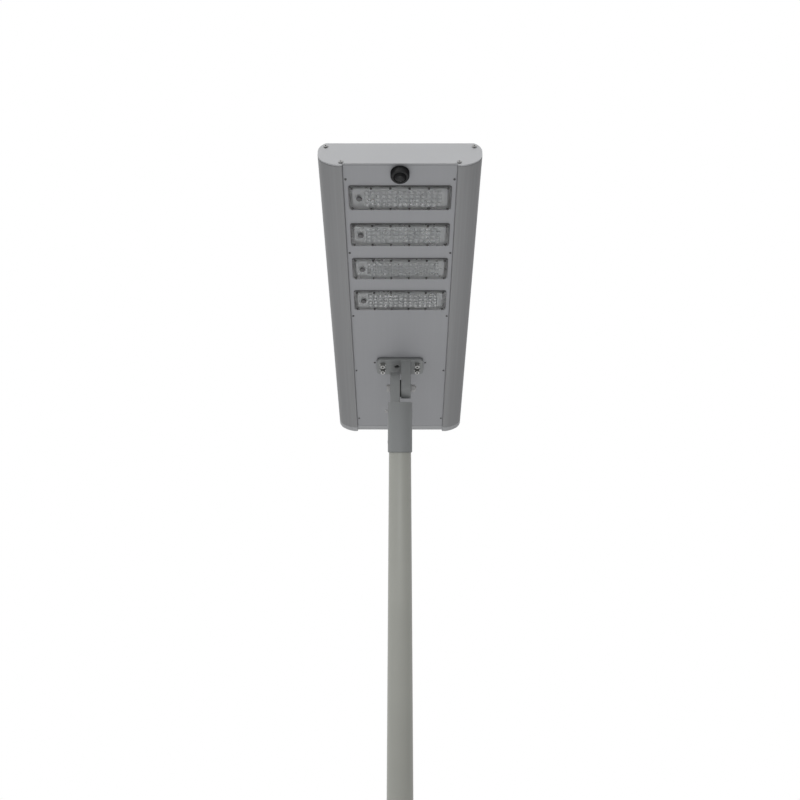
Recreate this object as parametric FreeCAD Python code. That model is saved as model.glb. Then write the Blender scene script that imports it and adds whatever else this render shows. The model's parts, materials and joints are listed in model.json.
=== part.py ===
"""All-in-one solar street lamp on a tapered steel pole.

Units are millimetres and degrees. +Z is up, the lamp's front end points to -Y, and the origin is
on the pole's axis at the underside of its base plate. Every piece is one STEP file in parts/.

The pole and its sleeve are built where they stand. The lamp head is built in its own frame and
then carried to its tilted place: X across, Y back from the front end's outer face, Z upwards from
the outer face of the bottom plate, along that plate's normal.
"""

import FreeCAD, Part
import math
import os

from FreeCAD import Placement, Rotation, Vector

X, Y, Z = Vector(1, 0, 0), Vector(0, 1, 0), Vector(0, 0, 1)

# Pole
POLE_HEIGHT = 4000.0
POLE_TOP_R = 29.25
POLE_TAPER = 0.006  # radius gained per millimetre downwards
POLE_WALL = 3.0
BASE_SIZE = 300.0
BASE_THICK = 16.0
BASE_CORNER_R = 12.0
ANCHOR_SPACING = 200.0
ANCHOR_HOLE_R = 10.0
GUSSET_REACH = 78.0
GUSSET_HEIGHT = 140.0
GUSSET_THICK = 8.0

# Sleeve over the pole's top, with the lower half of the tilt hinge
SLEEVE_R = 33.0
SLEEVE_BORE_R = 30.5
SLEEVE_LENGTH = 135.5
SLEEVE_TOP_WALL = 12.0
SLEEVE_RIM_CHAMFER = 1.5
SET_SCREW_R = 4.0
SET_SCREW_DEPTHS = (24.0, 107.0)  # below the sleeve's top face
SET_SCREW_SIDES = (180.0, 90.0)  # round the pole from +X
POLE_GAP = 0.3  # what a set screw's point leaves to the pole
PIVOT_RISE = 38.3  # pivot above the sleeve's top face

# Tilt hinge
TILT = 31.7
LUG_R = 27.5
SLEEVE_LUG = (-26.5, 0.0)
LUG_GAP = 3.0
HEAD_LUG = (3.0, 29.0)
SLEEVE_LUG_RISE = 16.0  # centre of the sleeve lug's round end, above the pivot
PIVOT_BOLT_R = 6.0
PIVOT_RUN = 0.05
WASHER_T = 2.0

# Lamp head
HEAD_LENGTH = 1044.0
HEAD_HALF_W = 180.0
HEAD_TOP = 65.0
LIP_DROP = 5.5
FRONT_CAP_T = 4.0
REAR_CAP_T = 20.0
REAR_EDGE_R = 4.0
GASKET_T = 0.8
PLATE_HALF_W = 125.0
PLATE_T = 3.0
PIVOT_BACK = 741.0  # pivot's foot on the plate, back from the front end
PIVOT_DROP = 66.7
SEAM_SCREW_X = 120.0
SEAM_SCREW_FIRST = 46.0
SEAM_SCREW_PITCH = 234.4
SEAM_SCREW_COUNT = 5
CAP_SCREWS = ((163.2, 54.3), (128.6, 4.6))  # X and Z of the ports on one side

# Solar panel in the head's top
PANEL_HALF_W = 150.0
PANEL_START = 8.0
PANEL_END = 1020.0
GLASS_T = 3.2
CELL_T = 0.4
BACKSHEET_T = 0.6
CELL_W, CELL_L, CELL_GAP = 91.0, 80.0, 3.0
CELL_COLUMNS, CELL_ROWS = 3, 12
JUNCTION_BOX_BACK = 540.0

# LED modules
MODULE_W, MODULE_L = 231.0, 73.0
MODULE_CORNER = 6.0
MODULE_FIRST = 100.5
MODULE_PITCH = 117.0
MODULE_COUNT = 4
SEAT_GASKET_T = 1.5
LENS_INSET = 1.5
LENS_T = 2.5
DOME_RISE = 3.4
DOME_FIELD = (7.0, 182.0, 50.0)  # X centre, width and length of the lens domes' field
WINDOW = (212.0, 55.0)
SPREADER_T = 3.0
BOARD_T = 1.4
LENS_SCREW_X = (21.5, 64.5, 107.5)
LENS_SCREW_Y = 31.2

# Motion sensor
SENSOR_BACK = 27.0
SENSOR_R = 21.0
SENSOR_RISE = 20.0
SENSOR_NECK_R = 9.0

# Bracket plate under the head, with the upper half of the hinge
BRACKET_W, BRACKET_L, BRACKET_T = 126.0, 66.0, 7.0
BRACKET_AHEAD = 18.5  # plate's centre, ahead of the pivot's foot
BRACKET_CORNER = 11.0
BRACKET_GASKET_T = 2.0
BRACKET_BOLTS = (47.0, 13.0)
BOLT_R = 4.0
BACKING_W, BACKING_T = 150.0, 6.0
BACKING_SCREW = (69.0, 713.0)
LUG_ROOT_AHEAD = 31.0  # the lug's root reaches this far ahead of the plate's centre
CABLE_HOLE = (-8.0, 6.5)  # X and radius
CABLE_BACK = PIVOT_BACK - 20.5

# Battery, controller and wiring inside the head
BATTERY_START = 585.0
BATTERY_HALF_W = 121.0
BATTERY_WALL = 1.5
BATTERY_FLOOR = 14.0
BATTERY_TOP = 52.0
CELL_R, CELL_H = 16.1, 70.5
BATTERY_COLUMNS, BATTERY_ROWS = 7, 4
CONTROLLER = (110.0, 70.0, 26.0)
CONTROLLER_BACK = 955.0
WIRE_R = 2.5
WIRE_ENTRY_X = -92.0

SLEEVE_TOP = POLE_HEIGHT + SLEEVE_TOP_WALL
PIVOT_Z = SLEEVE_TOP + PIVOT_RISE


def box(x0, x1, y0, y1, z0, z1):
    """A block between the given planes."""
    return Part.makeBox(x1 - x0, y1 - y0, z1 - z0, Vector(x0, y0, z0))


def rod(radius, length, base, direction):
    """A cylinder from base along direction."""
    return Part.makeCylinder(radius, length, Vector(*base), direction)


def hexagon(across_flats, height, base, direction):
    """A hexagonal prism from base along direction."""
    corner = across_flats / math.sqrt(3)
    points = [
        Vector(corner * math.cos(math.radians(60 * k)), corner * math.sin(math.radians(60 * k)), 0)
        for k in range(7)
    ]
    prism = Part.Face(Part.makePolygon(points)).extrude(Vector(0, 0, height))
    prism.Placement = Placement(Vector(*base), Rotation(Z, direction))
    return prism


def rounded_plate(width, length, corner, centre, z0, z1):
    """A plate with rounded corners, flat in XY, centred on (x, y)."""
    cx, cy = centre
    plate = box(cx - width / 2, cx + width / 2, cy - length / 2, cy + length / 2, z0, z1)
    upright = [e for e in plate.Edges if abs(e.tangentAt(e.FirstParameter).z) > 0.9]
    return plate.makeFillet(corner, upright)


def prism_along_y(path, y0, y1):
    """Extrudes an XZ outline along Y. A path step is a point, or a pair: arc middle and end."""
    start = here = Vector(path[0][0], y0, path[0][1])
    edges = []
    for step in path[1:]:
        if isinstance(step[0], tuple):
            middle, end = (Vector(p[0], y0, p[1]) for p in step)
            edges.append(Part.Arc(here, middle, end).toShape())
        else:
            end = Vector(step[0], y0, step[1])
            edges.append(Part.LineSegment(here, end).toShape())
        here = end
    edges.append(Part.LineSegment(here, start).toShape())
    return Part.Face(Part.Wire(edges)).extrude(Vector(0, y1 - y0, 0))


def tangent_point(point, centre, radius):
    """Where a line from point touches a circle, anticlockwise from the way centre to point."""
    du, dv = point[0] - centre[0], point[1] - centre[1]
    turn = math.atan2(dv, du) + math.acos(radius / math.hypot(du, dv))
    return centre[0] + radius * math.cos(turn), centre[1] + radius * math.sin(turn)


def turned(profile, base, direction):
    """A solid of revolution from (radius, height) points, its axis from base along direction."""
    points = [Vector(r, 0, h) for r, h in profile]
    solid = Part.Face(Part.makePolygon(points + points[:1])).revolve(Vector(), Z, 360)
    solid.Placement = Placement(Vector(*base), Rotation(Z, direction))
    return solid


def mirrored(shape):
    """The shape's mirror image across the YZ plane."""
    return shape.mirror(Vector(), X)


def tube(points, radius, bend):
    """A wire of straight runs joined by tangent arcs of radius bend."""
    points = [Vector(*p) for p in points]
    edges = []
    here = points[0]
    for before, corner, after in zip(points, points[1:], points[2:]):
        inward = (before - corner).normalize()
        outward = (after - corner).normalize()
        half = inward.getAngle(outward) / 2
        reach = bend / math.tan(half)
        first = corner + inward * reach
        last = corner + outward * reach
        bisector = (inward + outward).normalize()
        middle = corner + bisector * (bend / math.sin(half) - bend)
        edges.append(Part.LineSegment(here, first).toShape())
        edges.append(Part.Arc(first, middle, last).toShape())
        here = last
    edges.append(Part.LineSegment(here, points[-1]).toShape())
    path = Part.Wire(edges)
    circle = Part.Wire(Part.makeCircle(radius, points[0], points[1] - points[0]))
    return path.makePipeShell([circle], True, False)


def save(name, *solids):
    """Writes one piece, which may be several equal solids."""
    shape = solids[0] if len(solids) == 1 else Part.makeCompound(list(solids))
    shape.exportStep(f"parts/{name}.step")


HEAD_TO_WORLD = (
    Placement(Vector(0, 0, PIVOT_Z), Rotation(X, -TILT))
    * Placement(Vector(0, -PIVOT_BACK, PIVOT_DROP), Rotation())
)


def save_on_head(name, *solids):
    """Writes one piece of the lamp head, carried from the head's frame to its tilted place."""
    placed = []
    for solid in solids:
        copy = solid.copy()
        copy.Placement = HEAD_TO_WORLD * copy.Placement
        placed.append(copy)
    save(name, *placed)


def pole_radius(z):
    """The pole's outer radius at height z."""
    return POLE_TOP_R + POLE_TAPER * (POLE_HEIGHT - z)


def make_pole():
    """Tapered tube, its base plate with four anchor holes, and four gussets."""
    low, high = pole_radius(BASE_THICK), POLE_TOP_R
    length = POLE_HEIGHT - BASE_THICK
    foot = Vector(0, 0, BASE_THICK)
    outer = Part.makeCone(low, high, length, foot)
    inner = Part.makeCone(low - POLE_WALL, high - POLE_WALL, length, foot)
    save("pole_shaft", outer.cut(inner))

    plate = rounded_plate(BASE_SIZE, BASE_SIZE, BASE_CORNER_R, (0, 0), 0, BASE_THICK)
    half = ANCHOR_SPACING / 2
    for x, y in ((half, half), (half, -half), (-half, half), (-half, -half)):
        plate = plate.cut(rod(ANCHOR_HOLE_R, BASE_THICK, (x, y, 0), Z))
    save("base_plate", plate)

    top_r = pole_radius(BASE_THICK + GUSSET_HEIGHT)
    snip = 15.0
    profile = [
        (0, BASE_THICK),
        (low + GUSSET_REACH, BASE_THICK),
        (low + GUSSET_REACH, BASE_THICK + snip),
        (top_r + snip, BASE_THICK + GUSSET_HEIGHT),
        (0, BASE_THICK + GUSSET_HEIGHT),
    ]
    blank = prism_along_y(profile, -GUSSET_THICK / 2, GUSSET_THICK / 2).cut(outer)
    gussets = []
    for turn in (0, 90, 180, 270):
        gusset = blank.copy()
        gusset.rotate(Vector(), Z, turn)
        gussets.append(gusset)
    save("base_gussets", *gussets)


def make_sleeve():
    """Sleeve over the pole's top with its hinge lug, and the screws that clamp it."""
    bottom = SLEEVE_TOP - SLEEVE_LENGTH
    body = turned(
        [
            (0, 0),
            (SLEEVE_R, 0),
            (SLEEVE_R, SLEEVE_RIM_CHAMFER - SLEEVE_LENGTH),
            (SLEEVE_R - SLEEVE_RIM_CHAMFER, -SLEEVE_LENGTH),
            (SLEEVE_BORE_R, -SLEEVE_LENGTH),
            (SLEEVE_BORE_R, -SLEEVE_TOP_WALL),
            (0, -SLEEVE_TOP_WALL),
        ],
        (0, 0, SLEEVE_TOP),
        Z,
    )
    x0, x1 = SLEEVE_LUG
    end_z = PIVOT_Z + SLEEVE_LUG_RISE
    root = box(x0, x1, -LUG_R, LUG_R, SLEEVE_TOP - SLEEVE_TOP_WALL, end_z)
    cone = Part.makeCone(SLEEVE_R, 0.7 * SLEEVE_R, 0.6 * SLEEVE_R, Vector(0, 0, SLEEVE_TOP))
    shoulder = cone.common(box(x0 - LUG_R, x1, -LUG_R, LUG_R, SLEEVE_TOP, PIVOT_Z))
    lug = root.fuse([rod(LUG_R, x1 - x0, (x0, 0, end_z), X), shoulder])
    sleeve = body.fuse(lug.common(rod(SLEEVE_R, 2 * SLEEVE_LENGTH, (0, 0, bottom), Z)))
    sleeve = sleeve.cut(rod(PIVOT_BOLT_R + PIVOT_RUN, x1 - x0, (x0, 0, PIVOT_Z), X))

    screws = []
    for depth, proud in zip(SET_SCREW_DEPTHS, (7.0, 0.6)):
        height = SLEEVE_TOP - depth
        tip = pole_radius(height) + POLE_GAP
        for turn in SET_SCREW_SIDES:
            side = Rotation(Z, turn).multVec(X)
            base = side * tip + Vector(0, 0, height)
            length = SLEEVE_R + proud - tip
            screw = rod(SET_SCREW_R, length, base, side)
            socket = hexagon(4.0, 4.0, base + side * (length - 3.5), side)
            screws.append(screw.cut(socket) if proud > 1 else screw)
            sleeve = sleeve.cut(rod(SET_SCREW_R, length + SLEEVE_R, base - side, side))
    save("pole_sleeve", sleeve.removeSplitter())
    save("sleeve_set_screws", *screws)


def make_pivot():
    """The bolt through both lugs, with its nut, its washers and the disc between the lugs."""
    x0, x1 = SLEEVE_LUG[0], HEAD_LUG[1]
    head_t, nut_t, tail = 7.5, 10.0, 3.0
    hole_r = PIVOT_BOLT_R + PIVOT_RUN
    washers = []
    for start in (x0 - WASHER_T, x1):
        disc = rod(12.0, WASHER_T, (start, 0, PIVOT_Z), X)
        washers.append(disc.cut(rod(hole_r, WASHER_T, (start, 0, PIVOT_Z), X)))
    save("pivot_washers", *washers)

    seat = x0 - WASHER_T
    shank = x1 + WASHER_T + nut_t + tail - seat
    head = hexagon(18.0, head_t, (seat - head_t, 0, PIVOT_Z), X)
    save("pivot_bolt", head.fuse(rod(PIVOT_BOLT_R, shank, (seat, 0, PIVOT_Z), X)))

    nut_at = (x1 + WASHER_T, 0, PIVOT_Z)
    nut = hexagon(18.0, nut_t, nut_at, X)
    save("pivot_nut", nut.cut(rod(PIVOT_BOLT_R, nut_t, nut_at, X)))

    spacer = rod(LUG_R - 4.0, LUG_GAP, (SLEEVE_LUG[1], 0, PIVOT_Z), X)
    save("lug_spacer", spacer.cut(rod(hole_r, LUG_GAP, (SLEEVE_LUG[1], 0, PIVOT_Z), X)))


# Right half of the head's outline, from the top's edge down to the lip beside the bottom plate
OUTER_SKIN = [
    (163.0, HEAD_TOP),
    ((174.6, 55.4), (HEAD_HALF_W, 35.0)),
    (HEAD_HALF_W, 27.0),
    ((174.8, 14.0), (163.0, 4.0)),
    ((149.5, -2.2), (134.4, -LIP_DROP)),
    (127.0, -LIP_DROP),
    (125.5, -4.0),
]


def mirror_path(path):
    """The same outline on the other side, walked the other way."""
    points = [path[0]]
    middles = []
    for step in path[1:]:
        is_arc = isinstance(step[0], tuple)
        points.append(step[1] if is_arc else step)
        middles.append(step[0] if is_arc else None)
    back = [(-points[-1][0], points[-1][1])]
    for point, middle in zip(points[-2::-1], middles[::-1]):
        end = (-point[0], point[1])
        back.append(((-middle[0], middle[1]), end) if middle else end)
    return back


def cap_outline(bottom):
    """The head's whole cross-section, closed along the bottom plate at height bottom."""
    left = mirror_path(OUTER_SKIN)
    return OUTER_SKIN + [(125.5, bottom), (-125.5, bottom)] + left


def make_profiles():
    """The two extruded side profiles: a skin, a web, two ledges and the ports for the screws."""
    y0, y1 = FRONT_CAP_T + GASKET_T, HEAD_LENGTH - REAR_CAP_T - GASKET_T
    ledge = 59.5
    outline = OUTER_SKIN + [
        (125.5, 3.0),
        (113.0, 3.0),
        (113.0, 5.5),
        (125.5, 5.5),
        (125.5, 9.5),
        (136.0, 9.5),
        (136.0, 57.0),
        (133.0, 57.0),
        (133.0, ledge),
        (151.0, ledge),
        (151.0, HEAD_TOP),
    ]
    chamber = [
        (138.5, 57.0),
        (153.6, 57.0),
        (153.6, 62.4),
        (161.8, 62.4),
        ((172.2, 53.9), (177.4, 34.6)),
        (177.4, 27.4),
        ((172.7, 15.7), (161.9, 6.5)),
        ((148.9, 0.5), (138.5, -1.9)),
    ]
    profile = prism_along_y(outline, y0, y1).cut(prism_along_y(chamber, y0, y1))
    (port_x, port_z), (low_x, low_z) = CAP_SCREWS
    port = rod(4.5, y1 - y0, (port_x, y0, port_z), Y)
    rib = box(port_x - 1.3, port_x + 1.3, y0, y1, port_z, 62.0)
    profile = profile.fuse([port, rib])
    screw_depth = 16.0
    for x, z in ((port_x, port_z), (low_x, low_z)):
        for start in (y0, y1 - screw_depth):
            profile = profile.cut(rod(2.1, screw_depth, (x, start, z), Y))
    for y in seam_screw_places():
        profile = profile.cut(rod(1.5, 4.0, (SEAM_SCREW_X, y, PLATE_T - 0.5), Z))
    profile = profile.removeSplitter()
    save_on_head("right_side_profile", profile)
    save_on_head("left_side_profile", mirrored(profile))


def seam_screw_places():
    """Y of each screw along one long edge of the bottom plate."""
    return [SEAM_SCREW_FIRST + k * SEAM_SCREW_PITCH for k in range(SEAM_SCREW_COUNT)]


def both_sides(places):
    """Each place and its mirror image on the other side of the head."""
    return [(side * x, other) for x, other in places for side in (1, -1)]


def cap_screw(x, z, seat, reach, inward):
    """A washer-head screw through an end cap, its head outside the seat plane."""
    out = -1 if inward > 0 else 1
    head = rod(5.5, 1.4, (x, seat, z), Y * out)
    crown = rod(3.9, 2.6, (x, seat, z), Y * out)
    socket = hexagon(3.0, 1.6, (x, seat + out * 1.2, z), Y * out)
    return head.fuse([crown, rod(2.1, reach, (x, seat, z), Y * inward)]).cut(socket)


def make_end_caps():
    """Flat front cap, deep rear cap, their gaskets and their screws."""
    rear = HEAD_LENGTH - REAR_CAP_T
    places = both_sides(CAP_SCREWS)
    front_cap = prism_along_y(cap_outline(0.0), 0, FRONT_CAP_T)
    rear_cap = prism_along_y(cap_outline(0.0), rear, HEAD_LENGTH)
    low_edge = [
        e for e in rear_cap.Edges
        if all(abs(v.Point.y - HEAD_LENGTH) + abs(v.Point.z) < 0.01 for v in e.Vertexes)
    ]
    rear_cap = rear_cap.makeFillet(REAR_EDGE_R, low_edge)
    rear_cap = rear_cap.cut(box(-155, 155, rear, HEAD_LENGTH - 4, 11, 60))
    hole_r = 2.1
    for x, z in places:
        front_cap = front_cap.cut(rod(hole_r, FRONT_CAP_T, (x, 0, z), Y))
        rear_cap = rear_cap.cut(rod(hole_r, REAR_CAP_T, (x, rear, z), Y))
    save_on_head("front_end_cap", front_cap)
    save_on_head("rear_end_cap", rear_cap)

    for name, y0 in (("front_cap_gasket", FRONT_CAP_T), ("rear_cap_gasket", rear - GASKET_T)):
        sheet = prism_along_y(cap_outline(0.0), y0, y0 + GASKET_T)
        slab = box(-178.8, 178.8, y0, y0 + GASKET_T, 1.0, 64.0)
        opening = box(-132, 132, y0, y0 + GASKET_T, 8, 57)
        gasket = sheet.common(slab).cut(opening)
        for x, z in places:
            gasket = gasket.cut(rod(hole_r, GASKET_T, (x, y0, z), Y))
        save_on_head(name, gasket)

    reach = 14.0
    front = [cap_screw(x, z, 0, reach + FRONT_CAP_T, 1) for x, z in places]
    back = [cap_screw(x, z, HEAD_LENGTH, reach + REAR_CAP_T, -1) for x, z in places]
    save_on_head("front_cap_screws", *front)
    save_on_head("rear_cap_screws", *back)


def module_centres():
    """Y of each LED module's centre."""
    return [MODULE_FIRST + k * MODULE_PITCH for k in range(MODULE_COUNT)]


def lens_screw_places(centre_y):
    """(x, y) of the screws round one LED module."""
    return [
        (side * x, centre_y + end * LENS_SCREW_Y)
        for x in LENS_SCREW_X for side in (1, -1) for end in (1, -1)
    ]


def bracket_bolt_places():
    """(x, y) of the four bolts of the bracket plate."""
    cy = PIVOT_BACK - BRACKET_AHEAD
    bx, by = BRACKET_BOLTS
    return [(sx * bx, cy + sy * by) for sx in (1, -1) for sy in (1, -1)]


def make_bottom_plate():
    """The flat plate under the head, with its windows and holes, and the screws along its edges."""
    y0, y1 = FRONT_CAP_T + GASKET_T, HEAD_LENGTH - REAR_CAP_T - GASKET_T
    plate = box(-PLATE_HALF_W, PLATE_HALF_W, y0, y1, 0, PLATE_T)
    holes = [rod(SENSOR_NECK_R, PLATE_T, (0, SENSOR_BACK, 0), Z)]
    holes.append(rod(CABLE_HOLE[1] + 1.5, PLATE_T, (CABLE_HOLE[0], CABLE_BACK, 0), Z))
    holes += [rod(BOLT_R + 0.3, PLATE_T, (x, y, 0), Z) for x, y in bracket_bolt_places()]
    for cy in module_centres():
        holes.append(rounded_plate(*WINDOW, 3.0, (0, cy), 0, PLATE_T))
        holes += [rod(1.6, PLATE_T, (x, y, 0), Z) for x, y in lens_screw_places(cy)]
    places = [(SEAM_SCREW_X, y) for y in seam_screw_places()] + [BACKING_SCREW]
    screws = []
    for x, y in both_sides(places):
        holes.append(rod(1.5, PLATE_T, (x, y, 0), Z))
        head = Part.makeCone(2.2, 3.0, 1.2, Vector(x, y, -1.2))
        socket = hexagon(2.0, 0.9, (x, y, -1.2), Z)
        screws.append(head.fuse(rod(1.5, 6.0, (x, y, -0.2), Z)).cut(socket))
    save_on_head("bottom_plate", plate.cut(holes))
    save_on_head("plate_screws", *screws)


def make_panel():
    """The laminated solar panel in the top: glass, cells, backsheet, seal and junction box."""
    top = HEAD_TOP - 0.3
    glass_low = top - GLASS_T
    cell_low = glass_low - CELL_T
    sheet_low = cell_low - BACKSHEET_T
    centre_y = (PANEL_START + PANEL_END) / 2
    size = (2 * PANEL_HALF_W, PANEL_END - PANEL_START)
    save_on_head("panel_glass", rounded_plate(*size, 3.0, (0, centre_y), glass_low, top))
    save_on_head("panel_backsheet", rounded_plate(*size, 3.0, (0, centre_y), sheet_low, cell_low))
    cells = []
    for column in range(CELL_COLUMNS):
        cx = (column - (CELL_COLUMNS - 1) / 2) * (CELL_W + CELL_GAP)
        for row in range(CELL_ROWS):
            cy = centre_y + (row - (CELL_ROWS - 1) / 2) * (CELL_L + CELL_GAP)
            x0, y0 = cx - CELL_W / 2, cy - CELL_L / 2
            cells.append(box(x0, x0 + CELL_W, y0, y0 + CELL_L, cell_low, glass_low))
    save_on_head("panel_cells", *cells)

    ledge = 59.5
    outer = box(-PANEL_HALF_W, PANEL_HALF_W, PANEL_START, PANEL_END, ledge, sheet_low)
    inner = box(-134, 134, PANEL_START + 12, PANEL_END - 12, ledge, sheet_low)
    save_on_head("panel_seal", outer.cut(inner))
    case = rounded_plate(70, 50, 5.0, (0, JUNCTION_BOX_BACK), sheet_low - 16, sheet_low)
    save_on_head("panel_junction_box", case)


def make_module(number, cy):
    """One LED module: lens, gasket, board, heat spreader and the screws that hold it."""
    places = lens_screw_places(cy)
    shanks = [rod(1.5, 20.0, (x, y, -10), Z) for x, y in places]
    size = (MODULE_W, MODULE_L)
    gasket = rounded_plate(*size, MODULE_CORNER, (0, cy), -SEAT_GASKET_T, 0)
    gasket = gasket.cut(rounded_plate(*WINDOW, 3.0, (0, cy), -SEAT_GASKET_T, 0))
    save_on_head(f"lens_gasket_{number}", gasket.cut(shanks))

    lens_size = (MODULE_W - 2 * LENS_INSET, MODULE_L - 2 * LENS_INSET)
    low = -SEAT_GASKET_T - LENS_T
    lens = rounded_plate(*lens_size, MODULE_CORNER - LENS_INSET, (0, cy), low, -SEAT_GASKET_T)
    field_x, field_w, field_l = DOME_FIELD
    field = rounded_plate(field_w, field_l, 4.0, (field_x, cy), low - DOME_RISE, low)
    save_on_head(f"led_lens_{number}", lens.fuse(field).removeSplitter().cut(shanks))

    board_top = PLATE_T
    board = rounded_plate(WINDOW[0] - 4, WINDOW[1] - 4, 2.0, (0, cy), board_top - BOARD_T, board_top)
    save_on_head(f"led_board_{number}", board)
    spread_top = PLATE_T + SPREADER_T
    spreader = rounded_plate(224.0, MODULE_L, 3.0, (0, cy), PLATE_T, spread_top)
    save_on_head(f"heat_spreader_{number}", spreader.cut(shanks))

    screws = []
    for x, y in places:
        head = rod(2.8, 1.8, (x, y, low - 1.8), Z)
        socket = hexagon(2.0, 1.0, (x, y, low - 1.8), Z)
        shank = rod(1.5, spread_top - low, (x, y, low), Z)
        screws.append(head.fuse(shank).cut(socket))
    save_on_head(f"lens_screws_{number}", *screws)


def make_sensor():
    """The round motion sensor near the front end: housing, domed lens and nut."""
    down = Z * -1
    base = (0, SENSOR_BACK, 0)
    rim = SENSOR_RISE - 5.0
    lens_r = 14.0
    housing = turned(
        [
            (0, 0),
            (SENSOR_R, 0),
            (SENSOR_R, rim - 2.0),
            (SENSOR_R - 2.0, rim),
            (lens_r, rim),
            (lens_r, rim - 3.0),
            (0, rim - 3.0),
        ],
        base,
        down,
    )
    neck = rod(SENSOR_NECK_R, 14.0, base, Z)
    save_on_head("sensor_housing", housing.fuse(neck))
    dome = rod(lens_r, 8.0, (0, SENSOR_BACK, 3.0 - rim), down)
    ball_r = 16.25
    ball = Part.makeSphere(ball_r, Vector(0, SENSOR_BACK, ball_r - SENSOR_RISE))
    save_on_head("sensor_lens", dome.common(ball))
    nut_at = (0, SENSOR_BACK, PLATE_T)
    nut = hexagon(27.0, 5.0, nut_at, Z).cut(rod(SENSOR_NECK_R, 5.0, nut_at, Z))
    save_on_head("sensor_nut", nut)


def make_bracket():
    """The plate with the upper hinge lug, bolted through the bottom plate to a backing plate."""
    cy = PIVOT_BACK - BRACKET_AHEAD
    face = -BRACKET_GASKET_T
    low = face - BRACKET_T
    places = bracket_bolt_places()
    clear = [rod(BOLT_R + 0.3, 40.0, (x, y, -20), Z) for x, y in places]
    cable = rod(CABLE_HOLE[1], 40.0, (CABLE_HOLE[0], CABLE_BACK, -20), Z)

    plate = rounded_plate(BRACKET_W, BRACKET_L, BRACKET_CORNER, (0, cy), low, face)
    x0, x1 = HEAD_LUG
    pivot = (PIVOT_BACK, -PIVOT_DROP)
    root = (cy - LUG_ROOT_AHEAD, low - 3.0)
    side = [(root[0], low + 1), root, tangent_point(root, pivot, LUG_R), pivot]
    side += [(PIVOT_BACK + LUG_R, -PIVOT_DROP), (PIVOT_BACK + LUG_R, low + 1)]
    corners = [Vector(x0, y, z) for y, z in side]
    lug = Part.Face(Part.makePolygon(corners + corners[:1])).extrude(Vector(x1 - x0, 0, 0))
    lug = lug.fuse(rod(LUG_R, x1 - x0, (x0, *pivot), X))
    bolt_hole = rod(PIVOT_BOLT_R + PIVOT_RUN, x1 - x0, (x0, PIVOT_BACK, -PIVOT_DROP), X)
    bracket = plate.fuse(lug).removeSplitter().cut(clear + [cable, bolt_hole])
    save_on_head("bracket_plate", bracket)

    pad_size = (BRACKET_W - 2, BRACKET_L - 2)
    pad = rounded_plate(*pad_size, BRACKET_CORNER - 1, (0, cy), face, 0)
    save_on_head("bracket_gasket", pad.cut(clear + [cable]))
    backing_top = PLATE_T + BACKING_T
    backing = rounded_plate(BACKING_W, BRACKET_L, 6.0, (0, cy), PLATE_T, backing_top)
    threads = [rod(BOLT_R, 40.0, (x, y, -20), Z) for x, y in places]
    threads += [rod(1.5, 40.0, (x, y, -20), Z) for x, y in both_sides([BACKING_SCREW])]
    room = rod(CABLE_HOLE[1] + 3.5, 40.0, (CABLE_HOLE[0], CABLE_BACK, -20), Z)
    save_on_head("backing_plate", backing.cut(threads + [room]))

    washer_t, head_t = 1.6, 8.0
    washers, bolts = [], []
    for x, y in places:
        washer = rod(8.0, washer_t, (x, y, low - washer_t), Z)
        washers.append(washer.cut(rod(BOLT_R, washer_t, (x, y, low - washer_t), Z)))
        seat = low - washer_t
        head = rod(6.5, head_t, (x, y, seat - head_t), Z)
        socket = hexagon(6.0, 4.0, (x, y, seat - head_t), Z)
        shank = rod(BOLT_R, backing_top - seat, (x, y, seat), Z)
        bolts.append(head.fuse(shank).cut(socket))
    save_on_head("bracket_washers", *washers)
    save_on_head("bracket_bolts", *bolts)

    bush_r = CABLE_HOLE[1] + 1.5
    bush = turned(
        [
            (CABLE_HOLE[1] - 2.0, 0),
            (bush_r, 0),
            (bush_r, PLATE_T),
            (bush_r + 1.8, PLATE_T),
            (bush_r + 1.8, PLATE_T + 2.0),
            (CABLE_HOLE[1] - 2.0, PLATE_T + 2.0),
        ],
        (CABLE_HOLE[0], CABLE_BACK, 0),
        Z,
    )
    save_on_head("cable_grommet", bush)


def make_battery():
    """Battery cells in a tray with a lid, held over the bottom plate on posts."""
    rows_l = BATTERY_ROWS * (CELL_H + 1.5)
    y0, y1 = BATTERY_START, BATTERY_START + rows_l + 6.0
    wall, half = BATTERY_WALL, BATTERY_HALF_W
    tray = box(-half, half, y0, y1, BATTERY_FLOOR, BATTERY_TOP)
    room = box(-half + wall, half - wall, y0 + wall, y1 - wall, BATTERY_FLOOR + wall, BATTERY_TOP)
    save_on_head("battery_tray", tray.cut(room))
    lid = box(-half - wall, half + wall, y0 - wall, y1 + wall, BATTERY_TOP - 8, BATTERY_TOP + wall)
    save_on_head("battery_lid", lid.cut(box(-half, half, y0, y1, BATTERY_TOP - 8, BATTERY_TOP)))
    cells = []
    axis_z = BATTERY_FLOOR + wall + CELL_R + 0.2
    for column in range(BATTERY_COLUMNS):
        x = (column - (BATTERY_COLUMNS - 1) / 2) * (2 * CELL_R + 1.5)
        for row in range(BATTERY_ROWS):
            start = y0 + 3.0 + row * (CELL_H + 1.5)
            cells.append(rod(CELL_R, CELL_H, (x, start, axis_z), Y))
    save_on_head("battery_cells", *cells)
    posts = []
    for x in (-95.0, 95.0):
        for y in (y0 + 18.0, y1 - 18.0):
            posts.append(hexagon(10.0, BATTERY_FLOOR - PLATE_T, (x, y, PLATE_T), Z))
    save_on_head("battery_posts", *posts)


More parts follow.
